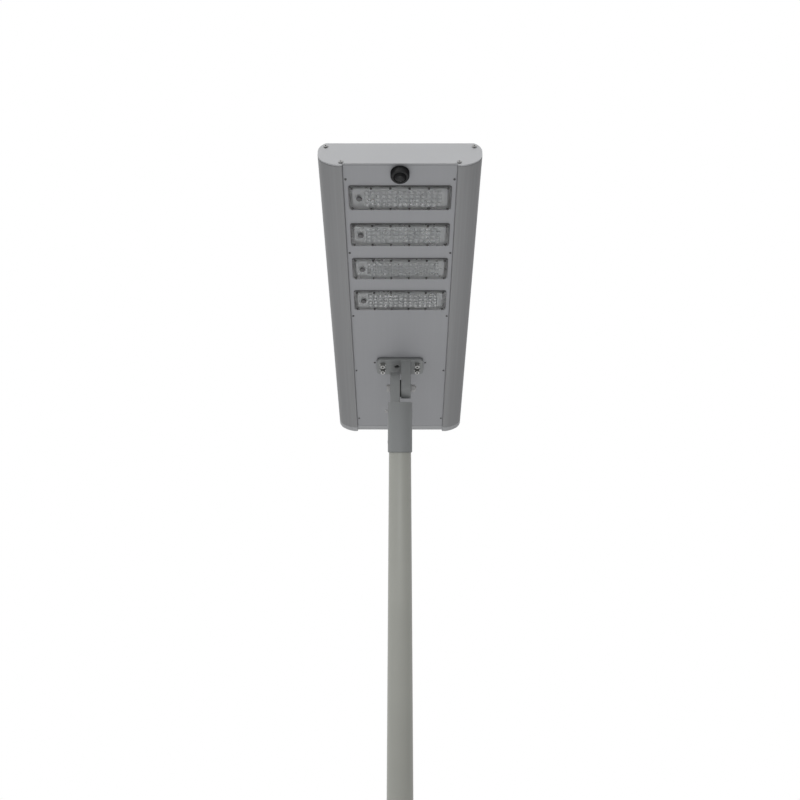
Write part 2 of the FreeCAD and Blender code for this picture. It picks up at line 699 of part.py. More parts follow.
def make_controller():
    """The charge controller at the rear, and the wiring along one side of the head."""
    width, length, height = CONTROLLER
    top = PLATE_T + height
    case = rounded_plate(width, length, 4.0, (0, CONTROLLER_BACK), PLATE_T, top)
    slots = [
        box(-width, width, CONTROLLER_BACK + 8.0 * k - 2, CONTROLLER_BACK + 8.0 * k + 2, top - 6, top)
        for k in range(-3, 4)
    ]
    save_on_head("charge_controller", case.cut(slots))

    start_y = CONTROLLER_BACK - length / 2
    side_x, level = -129.0, 12.5
    trunk = [
        (-40, start_y, level),
        (-40, start_y - 16, level),
        (side_x, start_y - 30, level),
        (side_x, SENSOR_BACK, level),
        (-SENSOR_NECK_R - 0.5, SENSOR_BACK, level),
    ]
    battery_end = BATTERY_START + BATTERY_ROWS * (CELL_H + 1.5) + 6.0
    wires = [tube(trunk, WIRE_R, 8.0)]
    wires.append(rod(WIRE_R, start_y - battery_end, (30, battery_end, 22), Y))
    for cy in module_centres():
        spur = [
            (side_x + WIRE_R, cy, level),
            (WIRE_ENTRY_X, cy, level),
            (WIRE_ENTRY_X, cy, PLATE_T + SPREADER_T),
        ]
        wires.append(tube(spur, 1.5, 3.0))
    save_on_head("wiring_harness", *wires)


def main():
    """Makes every piece."""
    os.makedirs("parts", exist_ok=True)
    make_pole()
    make_sleeve()
    make_pivot()
    make_profiles()
    make_end_caps()
    make_bottom_plate()
    make_panel()
    for number, centre_y in enumerate(module_centres(), start=1):
        make_module(number, centre_y)
    make_sensor()
    make_bracket()
    make_battery()
    make_controller()


main()
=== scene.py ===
"""The looks of an all-in-one solar street lamp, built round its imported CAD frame.

Units are metres. +Z is up and the lamp's front end points to -Y. The head's pieces are built in the
head's own axes: X across, Y back from the front end's outer face and Z up from the bottom plate's
outer face. Every mesh is then carried to its place in the frame, so each object stays at the origin.
"""

import json
import logging
import math
from dataclasses import dataclass
from enum import Enum
from typing import Callable, Iterable, Sequence

import bmesh
import bpy
from mathutils import Matrix, Vector
from mathutils.geometry import tessellate_polygon


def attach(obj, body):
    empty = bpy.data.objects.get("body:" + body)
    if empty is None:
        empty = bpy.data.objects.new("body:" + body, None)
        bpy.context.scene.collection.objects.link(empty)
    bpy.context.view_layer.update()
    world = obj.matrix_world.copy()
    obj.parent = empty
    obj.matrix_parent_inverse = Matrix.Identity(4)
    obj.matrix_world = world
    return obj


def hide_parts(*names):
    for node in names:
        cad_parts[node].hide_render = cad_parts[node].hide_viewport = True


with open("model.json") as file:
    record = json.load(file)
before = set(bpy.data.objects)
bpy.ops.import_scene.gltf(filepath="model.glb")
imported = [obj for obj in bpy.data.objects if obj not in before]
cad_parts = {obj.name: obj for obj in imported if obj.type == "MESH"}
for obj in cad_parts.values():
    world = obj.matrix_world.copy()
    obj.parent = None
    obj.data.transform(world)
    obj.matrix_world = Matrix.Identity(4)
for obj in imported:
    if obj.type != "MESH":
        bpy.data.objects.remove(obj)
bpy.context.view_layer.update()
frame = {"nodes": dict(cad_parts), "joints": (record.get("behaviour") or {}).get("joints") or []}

log = logging.getLogger("solar_lamp")

Point = tuple[float, float]
Loop = list[Point]
Colour = tuple[float, float, float]
MM = 0.001


class Body(Enum):
    """The rigid bodies that the joints move."""

    POLE = "pole"
    SLEEVE = "sleeve"
    HEAD = "head"


class Plane(Enum):
    """The plane that a flat outline is drawn in: where its u, its v and its depth w go."""

    XY = (0, 1, 2)
    XZ = (0, 2, 1)
    YZ = (1, 2, 0)


# ------------------------------------------------------------------------------------------------
# Node trees
# ------------------------------------------------------------------------------------------------


class Socket(Enum):
    """The kinds of socket that the node groups have."""

    FLOAT = "NodeSocketFloat"
    INT = "NodeSocketInt"
    VECTOR = "NodeSocketVector"
    GEOMETRY = "NodeSocketGeometry"
    OBJECT = "NodeSocketObject"
    MATERIAL = "NodeSocketMaterial"


class TreeKind(Enum):
    """The kinds of node group."""

    SHADER = "ShaderNodeTree"
    GEOMETRY = "GeometryNodeTree"


class Tree:
    """Short calls that add nodes to a shader or geometry tree and join them."""

    def __init__(self, tree: bpy.types.NodeTree) -> None:
        """Keeps the tree that the calls add to."""
        self.tree = tree

    def feed(self, node: bpy.types.Node, inputs: dict) -> None:
        """Sets a node's inputs, or joins them to other nodes.

        Args:
            node: The node.
            inputs: Values or output sockets, by input name or number.
        """
        for key, value in inputs.items():
            if isinstance(value, bpy.types.NodeSocket):
                self.tree.links.new(value, node.inputs[key])
            else:
                node.inputs[key].default_value = value

    def add(self, kind: str, settings: dict | None = None, inputs: dict | None = None) -> bpy.types.Node:
        """Adds one node.

        Args:
            kind: The node's type name.
            settings: Attributes to set on the node.
            inputs: Values or output sockets, by input name or number.

        Returns:
            The new node.
        """
        node = self.tree.nodes.new(kind)
        for key, value in (settings or {}).items():
            setattr(node, key, value)
        self.feed(node, inputs or {})
        return node

    def math(self, operation: str, *values: object, clamp: bool = False) -> bpy.types.NodeSocket:
        """Adds a Math node and gives its result."""
        settings = {"operation": operation, "use_clamp": clamp}
        return self.add("ShaderNodeMath", settings, dict(enumerate(values))).outputs[0]

    def mix(self, factor: object, a: object, b: object) -> bpy.types.NodeSocket:
        """Adds a colour Mix node and gives its result."""
        return self.add("ShaderNodeMix", {"data_type": "RGBA"}, {0: factor, 6: a, 7: b}).outputs[2]

    def tinted(self, colour: object, tone: object) -> bpy.types.NodeSocket:
        """Multiplies a colour by a tone and gives the result."""
        settings = {"data_type": "RGBA", "blend_type": "MULTIPLY"}
        return self.add("ShaderNodeMix", settings, {0: 1.0, 6: colour, 7: tone}).outputs[2]

    def ramp(self, factor: object, low: float, high: float) -> bpy.types.NodeSocket:
        """Adds a clamped Map Range from low..high to 0..1 and gives its result."""
        return self.add("ShaderNodeMapRange", {}, {0: factor, 1: low, 2: high}).outputs[0]

    def noise(self, place: object, scale: object, detail: float) -> bpy.types.NodeSocket:
        """Adds a Noise Texture and gives its value."""
        inputs = {"Vector": place, "Scale": scale, "Detail": detail}
        return self.add("ShaderNodeTexNoise", {}, inputs).outputs[0]

    def axes(self, vector: object) -> bpy.types.NodeOutputs:
        """Splits a vector and gives its X, Y and Z sockets."""
        return self.add("ShaderNodeSeparateXYZ", {}, {0: vector}).outputs

    def group(self, spec: "GroupSpec", inputs: dict) -> bpy.types.NodeOutputs:
        """Places a shader node group and gives its outputs."""
        return self.add("ShaderNodeGroup", {"node_tree": spec.tree()}, inputs).outputs


@dataclass(frozen=True)
class GroupSpec:
    """A node group's name, sockets and the function that fills it."""

    name: str
    inputs: tuple[tuple[str, Socket, object], ...]
    outputs: tuple[tuple[str, Socket], ...]
    fill: Callable[[Tree, dict], dict]
    kind: TreeKind = TreeKind.SHADER

    def tree(self) -> bpy.types.NodeTree:
        """Builds the group, or gives the one built before.

        Returns:
            The node group.
        """
        found = bpy.data.node_groups.get(self.name)
        if found:
            return found
        group = bpy.data.node_groups.new(self.name, self.kind.value)
        for name, socket, value in self.inputs:
            made = group.interface.new_socket(name, in_out="INPUT", socket_type=socket.value)
            if value is not None:
                made.default_value = value
        for name, socket in self.outputs:
            group.interface.new_socket(name, in_out="OUTPUT", socket_type=socket.value)
        tree = Tree(group)
        entry = tree.add("NodeGroupInput")
        results = self.fill(tree, {s.name: s for s in entry.outputs if s.name})
        tree.add("NodeGroupOutput", {}, results)
        return group


PLACE_IN = ("Vector", Socket.VECTOR, None)
SHAPE_IN = ("Geometry", Socket.GEOMETRY, None)
PIECE_IN = ("Piece", Socket.OBJECT, None)
FINISH_IN = ("Finish", Socket.MATERIAL, None)
SHAPE_OUT = (("Geometry", Socket.GEOMETRY),)


def fill_grain(tree: Tree, given: dict) -> dict:
    """Fills the grain group: the fine skin of a coat or a moulding, and slow changes of tone.

    Args:
        tree: The group's tree.
        given: The group's input sockets by name.

    Returns:
        The group's outputs by name.
    """
    fine = tree.noise(given["Vector"], given["Fine"], 3.0)
    slow = tree.noise(given["Vector"], given["Slow"], 4.0)
    drift = tree.math("SUBTRACT", slow, 0.5)
    tone = tree.math("MULTIPLY_ADD", drift, given["Drift"], 1.0)
    gloss = tree.math("MULTIPLY_ADD", drift, 0.25, given["Roughness"])
    return {"Height": fine, "Tone": tone, "Roughness": gloss}


GRAIN = GroupSpec(
    "Coat Grain",
    (
        PLACE_IN,
        ("Fine", Socket.FLOAT, 900.0),
        ("Slow", Socket.FLOAT, 9.0),
        ("Drift", Socket.FLOAT, 0.12),
        ("Roughness", Socket.FLOAT, 0.5),
    ),
    (("Height", Socket.FLOAT), ("Tone", Socket.FLOAT), ("Roughness", Socket.FLOAT)),
    fill_grain,
)


def fill_dust(tree: Tree, given: dict) -> dict:
    """Fills the dust group: a mask of dust that has settled where a surface faces up.

    Args:
        tree: The group's tree.
        given: The group's input sockets by name.

    Returns:
        The group's outputs by name.
    """
    facing = tree.ramp(given["Up"], 0.15, 0.95)
    patchy = tree.ramp(tree.noise(given["Vector"], 34.0, 6.0), 0.3, 0.75)
    settled = tree.math("MULTIPLY", facing, patchy)
    return {"Mask": tree.math("MULTIPLY", settled, given["Amount"], clamp=True)}


DUST = GroupSpec(
    "Settled Dust",
    (PLACE_IN, ("Up", Socket.FLOAT, 0.0), ("Amount", Socket.FLOAT, 0.3)),
    (("Mask", Socket.FLOAT),),
    fill_dust,
)


def fill_draw_lines(tree: Tree, given: dict) -> dict:
    """Fills the draw-line group: long faint streaks along Y, as a die leaves on an extrusion.

    Args:
        tree: The group's tree.
        given: The group's input sockets by name.

    Returns:
        The group's outputs by name.
    """
    drawn_out = {0: given["Vector"], 1: (1.0, 0.006, 1.0)}
    stretched = tree.add("ShaderNodeVectorMath", {"operation": "MULTIPLY"}, drawn_out)
    lines = tree.noise(stretched.outputs[0], given["Scale"], 5.0)
    tone = tree.math("MULTIPLY_ADD", tree.math("SUBTRACT", lines, 0.5), given["Contrast"], 1.0)
    return {"Height": lines, "Tone": tone}


DRAW_LINES = GroupSpec(
    "Draw Lines",
    (PLACE_IN, ("Scale", Socket.FLOAT, 420.0), ("Contrast", Socket.FLOAT, 0.2)),
    (("Height", Socket.FLOAT), ("Tone", Socket.FLOAT)),
    fill_draw_lines,
)


def copies_on(
    tree: Tree, given: dict, points: bpy.types.NodeSocket, turn: bpy.types.NodeSocket | None = None
) -> bpy.types.NodeSocket:
    """Adds the nodes that put a copy of the given piece on each point.

    Args:
        tree: The group's tree.
        given: The group's input sockets by name.
        points: The points.
        turn: How each copy is turned, where it is.

    Returns:
        The copies.
    """
    piece = tree.add("GeometryNodeObjectInfo", {"transform_space": "ORIGINAL"}, {"Object": given["Piece"]})
    inputs = {"Points": points, "Instance": piece.outputs["Geometry"]}
    if turn is not None:
        inputs["Rotation"] = turn
    return tree.add("GeometryNodeInstanceOnPoints", {}, inputs).outputs[0]


def made_real(tree: Tree, given: dict, shape: bpy.types.NodeSocket) -> dict:
    """Ends a geometry tree with Realize Instances and Set Material.

    Args:
        tree: The group's tree.
        given: The group's input sockets by name.
        shape: What the tree has made.

    Returns:
        The group's outputs by name.
    """
    real = tree.add("GeometryNodeRealizeInstances", {}, {"Geometry": shape}).outputs[0]
    dressed = tree.add("GeometryNodeSetMaterial", {}, {"Geometry": real, "Material": given["Finish"]})
    return {"Geometry": dressed.outputs[0]}


def fill_scatter(tree: Tree, given: dict) -> dict:
    """Fills the scatter tree: one copy of a piece on each point of the geometry that comes in.

    Args:
        tree: The group's tree.
        given: The group's input sockets by name.

    Returns:
        The group's outputs by name.
    """
    return made_real(tree, given, copies_on(tree, given, given["Geometry"]))


SCATTER = GroupSpec(
    "Scatter Pieces",
    (SHAPE_IN, PIECE_IN, FINISH_IN),
    SHAPE_OUT,
    fill_scatter,
    TreeKind.GEOMETRY,
)


def fill_grid(tree: Tree, given: dict) -> dict:
    """Fills the grid tree: copies of a piece on the points of a flat, even grid.

    Args:
        tree: The group's tree.
        given: The group's input sockets by name.

    Returns:
        The group's outputs by name.
    """
    inputs = {"Vertices X": given["Columns"], "Vertices Y": given["Rows"]}
    for size, count, pitch in (("Size X", "Columns", "Column Pitch"), ("Size Y", "Rows", "Row Pitch")):
        inputs[size] = tree.math("MULTIPLY", tree.math("SUBTRACT", given[count], 1.0), given[pitch])
    grid = tree.add("GeometryNodeMeshGrid", {}, inputs).outputs[0]
    moved = tree.add("GeometryNodeTransform", {}, {"Geometry": grid, "Translation": given["Centre"]})
    return made_real(tree, given, copies_on(tree, given, moved.outputs[0]))


GRID = GroupSpec(
    "Grid of Pieces",
    (
        SHAPE_IN,
        PIECE_IN,
        ("Columns", Socket.INT, 2),
        ("Rows", Socket.INT, 2),
        ("Column Pitch", Socket.FLOAT, 0.01),
        ("Row Pitch", Socket.FLOAT, 0.01),
        ("Centre", Socket.VECTOR, None),
        FINISH_IN,
    ),
    SHAPE_OUT,
    fill_grid,
    TreeKind.GEOMETRY,
)


def fill_ring(tree: Tree, given: dict) -> dict:
    """Fills the ring tree: copies of a piece round a circle, each turned to face outwards.

    Args:
        tree: The group's tree.
        given: The group's input sockets by name.

    Returns:
        The group's outputs by name.
    """
    sizes = {"Vertices": given["Count"], "Radius": given["Radius"]}
    points = tree.add("GeometryNodeMeshCircle", {}, sizes).outputs[0]
    axes = tree.axes(tree.add("GeometryNodeInputPosition").outputs[0])
    angle = tree.math("ARCTAN2", axes["Y"], axes["X"])
    turn = tree.add("ShaderNodeCombineXYZ", {}, {"Z": angle}).outputs[0]
    joined = tree.add("GeometryNodeJoinGeometry", {}, {0: copies_on(tree, given, points, turn)})
    tree.feed(joined, {0: given["Geometry"]})
    return made_real(tree, given, joined.outputs[0])


RING = GroupSpec(
    "Ring of Pieces",
    (SHAPE_IN, PIECE_IN, ("Count", Socket.INT, 24), ("Radius", Socket.FLOAT, 0.02), FINISH_IN),
    SHAPE_OUT,
    fill_ring,
    TreeKind.GEOMETRY,
)


def fill_bead(tree: Tree, given: dict) -> dict:
    """Fills the weld tree: a rippled bead along the edges of the geometry that comes in.

    Args:
        tree: The group's tree.
        given: The group's input sockets by name.

    Returns:
        The group's outputs by name.
    """
    path = tree.add("GeometryNodeMeshToCurve", {}, {"Mesh": given["Geometry"]}).outputs[0]
    steps = {"Curve": path, "Length": given["Ripple"]}
    even = tree.add("GeometryNodeResampleCurve", {"mode": "LENGTH"}, steps).outputs[0]
    index = tree.add("GeometryNodeInputIndex").outputs[0]
    swell = tree.math("MULTIPLY_ADD", tree.math("MODULO", index, 3.0), 0.09, 0.9)
    sized = tree.add("GeometryNodeSetCurveRadius", {}, {"Curve": even, "Radius": swell}).outputs[0]
    ring = {"Resolution": 10, "Radius": given["Radius"]}
    section = tree.add("GeometryNodeCurvePrimitiveCircle", {"mode": "RADIUS"}, ring).outputs[0]
    sweep = {"Curve": sized, "Profile Curve": section, "Fill Caps": True}
    return made_real(tree, given, tree.add("GeometryNodeCurveToMesh", {}, sweep).outputs[0])


WELD = GroupSpec(
    "Weld Bead",
    (SHAPE_IN, ("Radius", Socket.FLOAT, 0.004), ("Ripple", Socket.FLOAT, 0.003), FINISH_IN),
    SHAPE_OUT,
    fill_bead,
    TreeKind.GEOMETRY,
)


def fill_taper(tree: Tree, given: dict) -> dict:
    """Fills the taper tree: a unit tube drawn out to a tapered one with an even wall.

    Args:
        tree: The group's tree.
        given: The group's input sockets by name.

    Returns:
        The group's outputs by name.
    """
    axes = tree.axes(tree.add("GeometryNodeInputPosition").outputs[0])
    squares = [tree.math("POWER", axes[name], 2.0) for name in ("X", "Y")]
    reach = tree.math("SQRT", tree.math("ADD", *squares))
    inside = tree.math("LESS_THAN", reach, 0.75)
    gain = tree.math("SUBTRACT", given["Top Radius"], given["Foot Radius"])
    outer = tree.math("MULTIPLY_ADD", gain, axes["Z"], given["Foot Radius"])
    radius = tree.math("SUBTRACT", outer, tree.math("MULTIPLY", inside, given["Wall"]))
    stretch = tree.math("DIVIDE", radius, reach)
    height = tree.math("MULTIPLY_ADD", axes["Z"], given["Height"], given["Foot Height"])
    x, y = (tree.math("MULTIPLY", axes[name], stretch) for name in ("X", "Y"))
    drawn = tree.add("ShaderNodeCombineXYZ", {}, {"X": x, "Y": y, "Z": height}).outputs[0]
    moved = tree.add("GeometryNodeSetPosition", {}, {"Geometry": given["Geometry"], "Position": drawn})
    return made_real(tree, given, moved.outputs[0])


TAPER = GroupSpec(
    "Tapered Tube",
    (
        SHAPE_IN,
        ("Foot Radius", Socket.FLOAT, 0.05),
        ("Top Radius", Socket.FLOAT, 0.03),
        ("Foot Height", Socket.FLOAT, 0.0),
        ("Height", Socket.FLOAT, 4.0),
        ("Wall", Socket.FLOAT, 0.003),
        FINISH_IN,
    ),
    SHAPE_OUT,
    fill_taper,
    TreeKind.GEOMETRY,
)


# ------------------------------------------------------------------------------------------------
# Flat outlines and the solids made from them
# ------------------------------------------------------------------------------------------------


def arc(centre: Point, radius: float, start: float, end: float, steps: int = 8) -> Loop:
    """Gives points on an arc.

    Args:
        centre: The arc's centre.
        radius: Its radius.
        start: Its first angle, in degrees.
        end: Its last angle, in degrees.
        steps: How many straight runs stand in for it.

    Returns:
        The points, both ends included.
    """
    angles = (math.radians(start + (end - start) * k / steps) for k in range(steps + 1))
    return [(centre[0] + radius * math.cos(a), centre[1] + radius * math.sin(a)) for a in angles]


def arc_through(first: Point, middle: Point, last: Point, steps: int = 10) -> Loop:
    """Gives points on the arc through three points.

    Args:
        first: Where the arc starts.
        middle: A point that it passes.
        last: Where it ends.
        steps: How many straight runs stand in for it.

    Returns:
        The points after the first, up to the last.
    """
    (ax, ay), (bx, by), (cx, cy) = first, middle, last
    d = 2 * (ax * (by - cy) + bx * (cy - ay) + cx * (ay - by))
    a2, b2, c2 = ax * ax + ay * ay, bx * bx + by * by, cx * cx + cy * cy
    ux = (a2 * (by - cy) + b2 * (cy - ay) + c2 * (ay - by)) / d
    uy = (a2 * (cx - bx) + b2 * (ax - cx) + c2 * (bx - ax)) / d
    radius = math.hypot(ax - ux, ay - uy)
    start = math.degrees(math.atan2(ay - uy, ax - ux))
    sweep = math.degrees(math.atan2(cy - uy, cx - ux)) - start
    sweep = (sweep + 180) % 360 - 180
    return arc((ux, uy), radius, start, start + sweep, steps)[1:]


def circle(radius: float, centre: Point = (0.0, 0.0), steps: int = 24) -> Loop:
    """Gives a closed circle's points, anticlockwise."""
    return arc(centre, radius, 0, 360, steps)[:-1]


def rounded_rectangle(
    width: float, length: float, corner: float, centre: Point = (0.0, 0.0), steps: int = 6
) -> Loop:
    """Gives a rectangle with round corners, anticlockwise.

    Args:
        width: Its size along u.
        length: Its size along v.
        corner: The corners' radius.
        centre: Its centre.
        steps: How many straight runs stand in for each corner.

    Returns:
        The closed outline's points.
    """
    u, v = width / 2 - corner, length / 2 - corner
    corners = ((u, v, 0), (-u, v, 90), (-u, -v, 180), (u, -v, 270))
    points: Loop = []
    for cu, cv, start in corners:
        points += arc((centre[0] + cu, centre[1] + cv), corner, start, start + 90, steps)
    return points


def inset(loop: Loop, distance: float) -> Loop:
    """Moves a closed outline to its left by a distance, mitred at its corners.

    Args:
        loop: The outline.
        distance: How far it moves.

    Returns:
        The moved outline.
    """
    moved: Loop = []
    count = len(loop)
    for k, (u, v) in enumerate(loop):
        pu, pv = loop[k - 1]
        nu, nv = loop[(k + 1) % count]
        before = Vector((u - pu, v - pv)).normalized()
        after = Vector((nu - u, nv - v)).normalized()
        mitre = Vector((-before.y - after.y, before.x + after.x))
        scale = max(mitre.length_squared / 2, 0.4)
        moved.append((u + mitre.x * distance / scale, v + mitre.y * distance / scale))
    return moved


def signed_area(loop: Loop) -> float:
    """Gives a closed outline's area, positive when it runs anticlockwise."""
    return sum(a[0] * b[1] - b[0] * a[1] for a, b in zip(loop, loop[1:] + loop[:1])) / 2


def prism(
    outer: Loop,
    low: float,
    high: float,
    edge: float = 0.0,
    holes: Sequence[Loop] = (),
    plane: Plane = Plane.XY,
    steps: int = 3,
) -> bmesh.types.BMesh:
    """Makes a closed solid between two copies of an outline, its rims rounded.

    Args:
        outer: The outline.
        low: Where it starts, along the plane's depth.
        high: Where it ends.
        edge: The rims' radius.
        holes: Outlines of openings that go right through.
        plane: The plane that the outline is drawn in.
        steps: How many strips round each rim.

    Returns:
        The solid.
    """
    loops = [outer if signed_area(outer) > 0 else outer[::-1]]
    loops += [hole[::-1] if signed_area(hole) > 0 else hole for hole in holes]
    if edge > 0:
        turns = [math.pi / 2 * k / steps for k in range(steps + 1)]
        rim = [(edge * (1 - math.sin(t)), edge * (1 - math.cos(t))) for t in turns]
        levels = [(i, low + h) for i, h in rim] + [(i, high - h) for i, h in reversed(rim)]
    else:
        levels = [(0.0, low), (0.0, high)]
    body = bmesh.new()
    iu, iv, iw = plane.value
    rings = []
    for distance, depth in levels:
        ring = []
        for loop in loops:
            points = inset(loop, distance) if distance > 0 else loop
            made = []
            for u, v in points:
                place = [0.0, 0.0, 0.0]
                place[iu], place[iv], place[iw] = u, v, depth
                made.append(body.verts.new(place))
            ring.append(made)
        rings.append(ring)
    for below, above in zip(rings, rings[1:]):
        for near, far in zip(below, above):
            for k in range(len(near)):
                n = (k + 1) % len(near)
                body.faces.new((near[k], near[n], far[n], far[k])).smooth = True
    for ring, flip in ((rings[0], True), (rings[-1], False)):
        flat = [v for made in ring for v in made]
        sheets = [[Vector((v.co[iu], v.co[iv], 0.0)) for v in made] for made in ring]
        for triangle in tessellate_polygon(sheets):
            corners = [flat[i] for i in triangle]
            body.faces.new(corners[::-1] if flip else corners)
    bmesh.ops.recalc_face_normals(body, faces=body.faces)
    return body


def lathe(profile: Sequence[tuple], segments: int = 32) -> bmesh.types.BMesh:
    """Turns a profile round Z.

    Args:
        profile: (radius, height) or (radius, height, corners) steps, from the axis and back to it.
            With corners the ring is a polygon of that many sides, and radius is to its flats.
        segments: How many steps round.

    Returns:
        The closed solid.
    """
    body = bmesh.new()
    rings = []
    for step in profile:
        radius, height, corners = (*step, 0)[:3]
        if radius <= 1e-9:
            rings.append([body.verts.new((0.0, 0.0, height))])
            continue
        ring = []
        for k in range(segments):
            a = math.tau * k / segments
            reach = radius
            if corners:
                half = math.pi / corners
                reach = radius / math.cos((a + half) % (2 * half) - half)
            ring.append(body.verts.new((reach * math.cos(a), reach * math.sin(a), height)))
        rings.append(ring)
    for near, far in zip(rings, rings[1:]):
        for k in range(segments):
            n = (k + 1) % segments
            around = [near[k % len(near)], near[n % len(near)], far[n % len(far)], far[k % len(far)]]
            unique = list(dict.fromkeys(around))
            if len(unique) > 2:
                body.faces.new(unique).smooth = True
    bmesh.ops.remove_doubles(body, verts=body.verts, dist=1e-6)
    bmesh.ops.recalc_face_normals(body, faces=body.faces)
    return body


def rod(radius: float, low: float, high: float, segments: int) -> bmesh.types.BMesh:
    """Gives a plain round rod along Z, from low to high."""
    return lathe([(0, low), (radius, low), (radius, high), (0, high)], segments)


def turned_to(body: bmesh.types.BMesh, axis: Vector, origin: Vector) -> bmesh.types.BMesh:
    """Turns a solid's Z to an axis and moves it to an origin.

    Args:
        body: The solid, which is changed.
        axis: Where its Z goes.
        origin: Where its origin goes.

    Returns:
        The same solid.
    """
    turn = axis.to_track_quat("Z", "Y").to_matrix().to_4x4()
    bmesh.ops.transform(body, matrix=Matrix.Translation(origin) @ turn, verts=body.verts)
    return body


def moved_by(body: bmesh.types.BMesh, shift: Sequence[float]) -> bmesh.types.BMesh:
    """Moves a solid and gives it back."""
    bmesh.ops.translate(body, vec=shift, verts=body.verts)
    return body


def frozen(body: bmesh.types.BMesh, name: str) -> bpy.types.Mesh:
    """Makes a mesh of a solid and frees the solid.

    Args:
        body: The solid.
        name: The mesh's name.

    Returns:
        The mesh.
    """
    mesh = bpy.data.meshes.new(name)
    body.to_mesh(mesh)
    body.free()
    return mesh


def take_in(body: bmesh.types.BMesh, mesh: bpy.types.Mesh) -> bmesh.types.BMesh:
    """Adds a mesh to a solid and removes the mesh.

    Args:
        body: The solid, which is changed.
        mesh: The mesh.

    Returns:
        The same solid.
    """
    body.from_mesh(mesh)
    bpy.data.meshes.remove(mesh)
    return body


def merged(bodies: Iterable[bmesh.types.BMesh]) -> bmesh.types.BMesh:
    """Puts several solids in one mesh.

    Args:
        bodies: The solids, which are freed.

    Returns:
        All of them as one.
    """
    whole = bmesh.new()
    for body in bodies:
        take_in(whole, frozen(body, "held"))
    return whole


def linked(name: str, data: bpy.types.ID) -> bpy.types.Object:
    """Makes an object of some data and puts it in the scene.

    Args:
        name: The object's name.
        data: Its mesh, light or camera.

    Returns:
        The object.
    """
    item = bpy.data.objects.new(name, data)
    bpy.context.scene.collection.objects.link(item)
    return item


def plain_object(body: bmesh.types.BMesh, name: str) -> bpy.types.Object:
    """Makes an object of a solid and frees the solid."""
    return linked(name, frozen(body, name))


def drop(*items: bpy.types.Object) -> None:
    """Removes scratch objects and their meshes.

    Args:
        items: The objects.
    """
    for item in items:
        mesh = item.data
        bpy.data.objects.remove(item)
        bpy.data.meshes.remove(mesh)


def evaluated_mesh(item: bpy.types.Object) -> bpy.types.Mesh:
    """Gives a plain mesh of what an object's modifiers make."""
    graph = bpy.context.evaluated_depsgraph_get()
    return bpy.data.meshes.new_from_object(item.evaluated_get(graph), depsgraph=graph)


def cast_as_one(
    bodies: Sequence[bmesh.types.BMesh],
    cuts: Sequence[bmesh.types.BMesh],
    grain: float,
    rounds: int,
    keep: float = 0.45,
) -> bpy.types.Mesh:
    """Joins solids into one casting whose edges and corners are softly filleted.

    Args:
        bodies: The solids; each after the first overlaps what comes before it.
        cuts: Solids that are cut out of them.
        grain: The remeshing step, which sets how small the fillets are.
        rounds: How many rounds of smoothing widen the fillets.
        keep: The share of the faces that is kept.

    Returns:
        The casting's mesh.
    """
    items = [plain_object(body, f"cast_{k}") for k, body in enumerate([*bodies, *cuts])]
    for k, other in enumerate(items[1:], start=1):
        join = items[0].modifiers.new("join", "BOOLEAN")
        join.operation = "UNION" if k < len(bodies) else "DIFFERENCE"
        join.solver, join.object = "EXACT", other
    skin = items[0].modifiers.new("skin", "REMESH")
    skin.mode, skin.voxel_size, skin.use_smooth_shade = "VOXEL", grain, True
    soft = items[0].modifiers.new("soft", "SMOOTH")
    soft.factor, soft.iterations = 0.5, rounds
    lean = items[0].modifiers.new("lean", "DECIMATE")
    lean.ratio = keep
    mesh = evaluated_mesh(items[0])
    drop(*items)
    return mesh


def run_nodes(spec: GroupSpec, start: bmesh.types.BMesh, values: dict, name: str) -> bpy.types.Mesh:
    """Runs a geometry tree on a start mesh.

    Args:
        spec: The tree.
        start: The geometry that goes in.
        values: The tree's inputs by name.
        name: What to call the result.

    Returns:
        The plain mesh that comes out.
    """
    item = plain_object(start, name)
    modifier = item.modifiers.new("nodes", "NODES")
    modifier.node_group = spec.tree()
    rows = modifier.node_group.interface.items_tree
    sockets = {row.name: row.identifier for row in rows if row.in_out == "INPUT"}
    for key, value in values.items():
        modifier[sockets[key]] = value
    mesh = evaluated_mesh(item)
    drop(item)
    return mesh


def points_at(places: Iterable[Sequence[float]]) -> bmesh.types.BMesh:
    """Makes a mesh of loose points.

    Args:
        places: Where they are.

    Returns:
        The mesh.
    """
    body = bmesh.new()
    for place in places:
        body.verts.new(place)
    return body


def closed_path(places: Sequence[Sequence[float]]) -> bmesh.types.BMesh:
    """Makes a mesh of edges round a closed path.

    Args:
        places: The path's corners.

    Returns:
        The mesh.
    """
    body = bmesh.new()
    corners = [body.verts.new(place) for place in places]
    for a, b in zip(corners, corners[1:] + corners[:1]):
        body.edges.new((a, b))
    return body


# ------------------------------------------------------------------------------------------------
# Placing pieces
# ------------------------------------------------------------------------------------------------


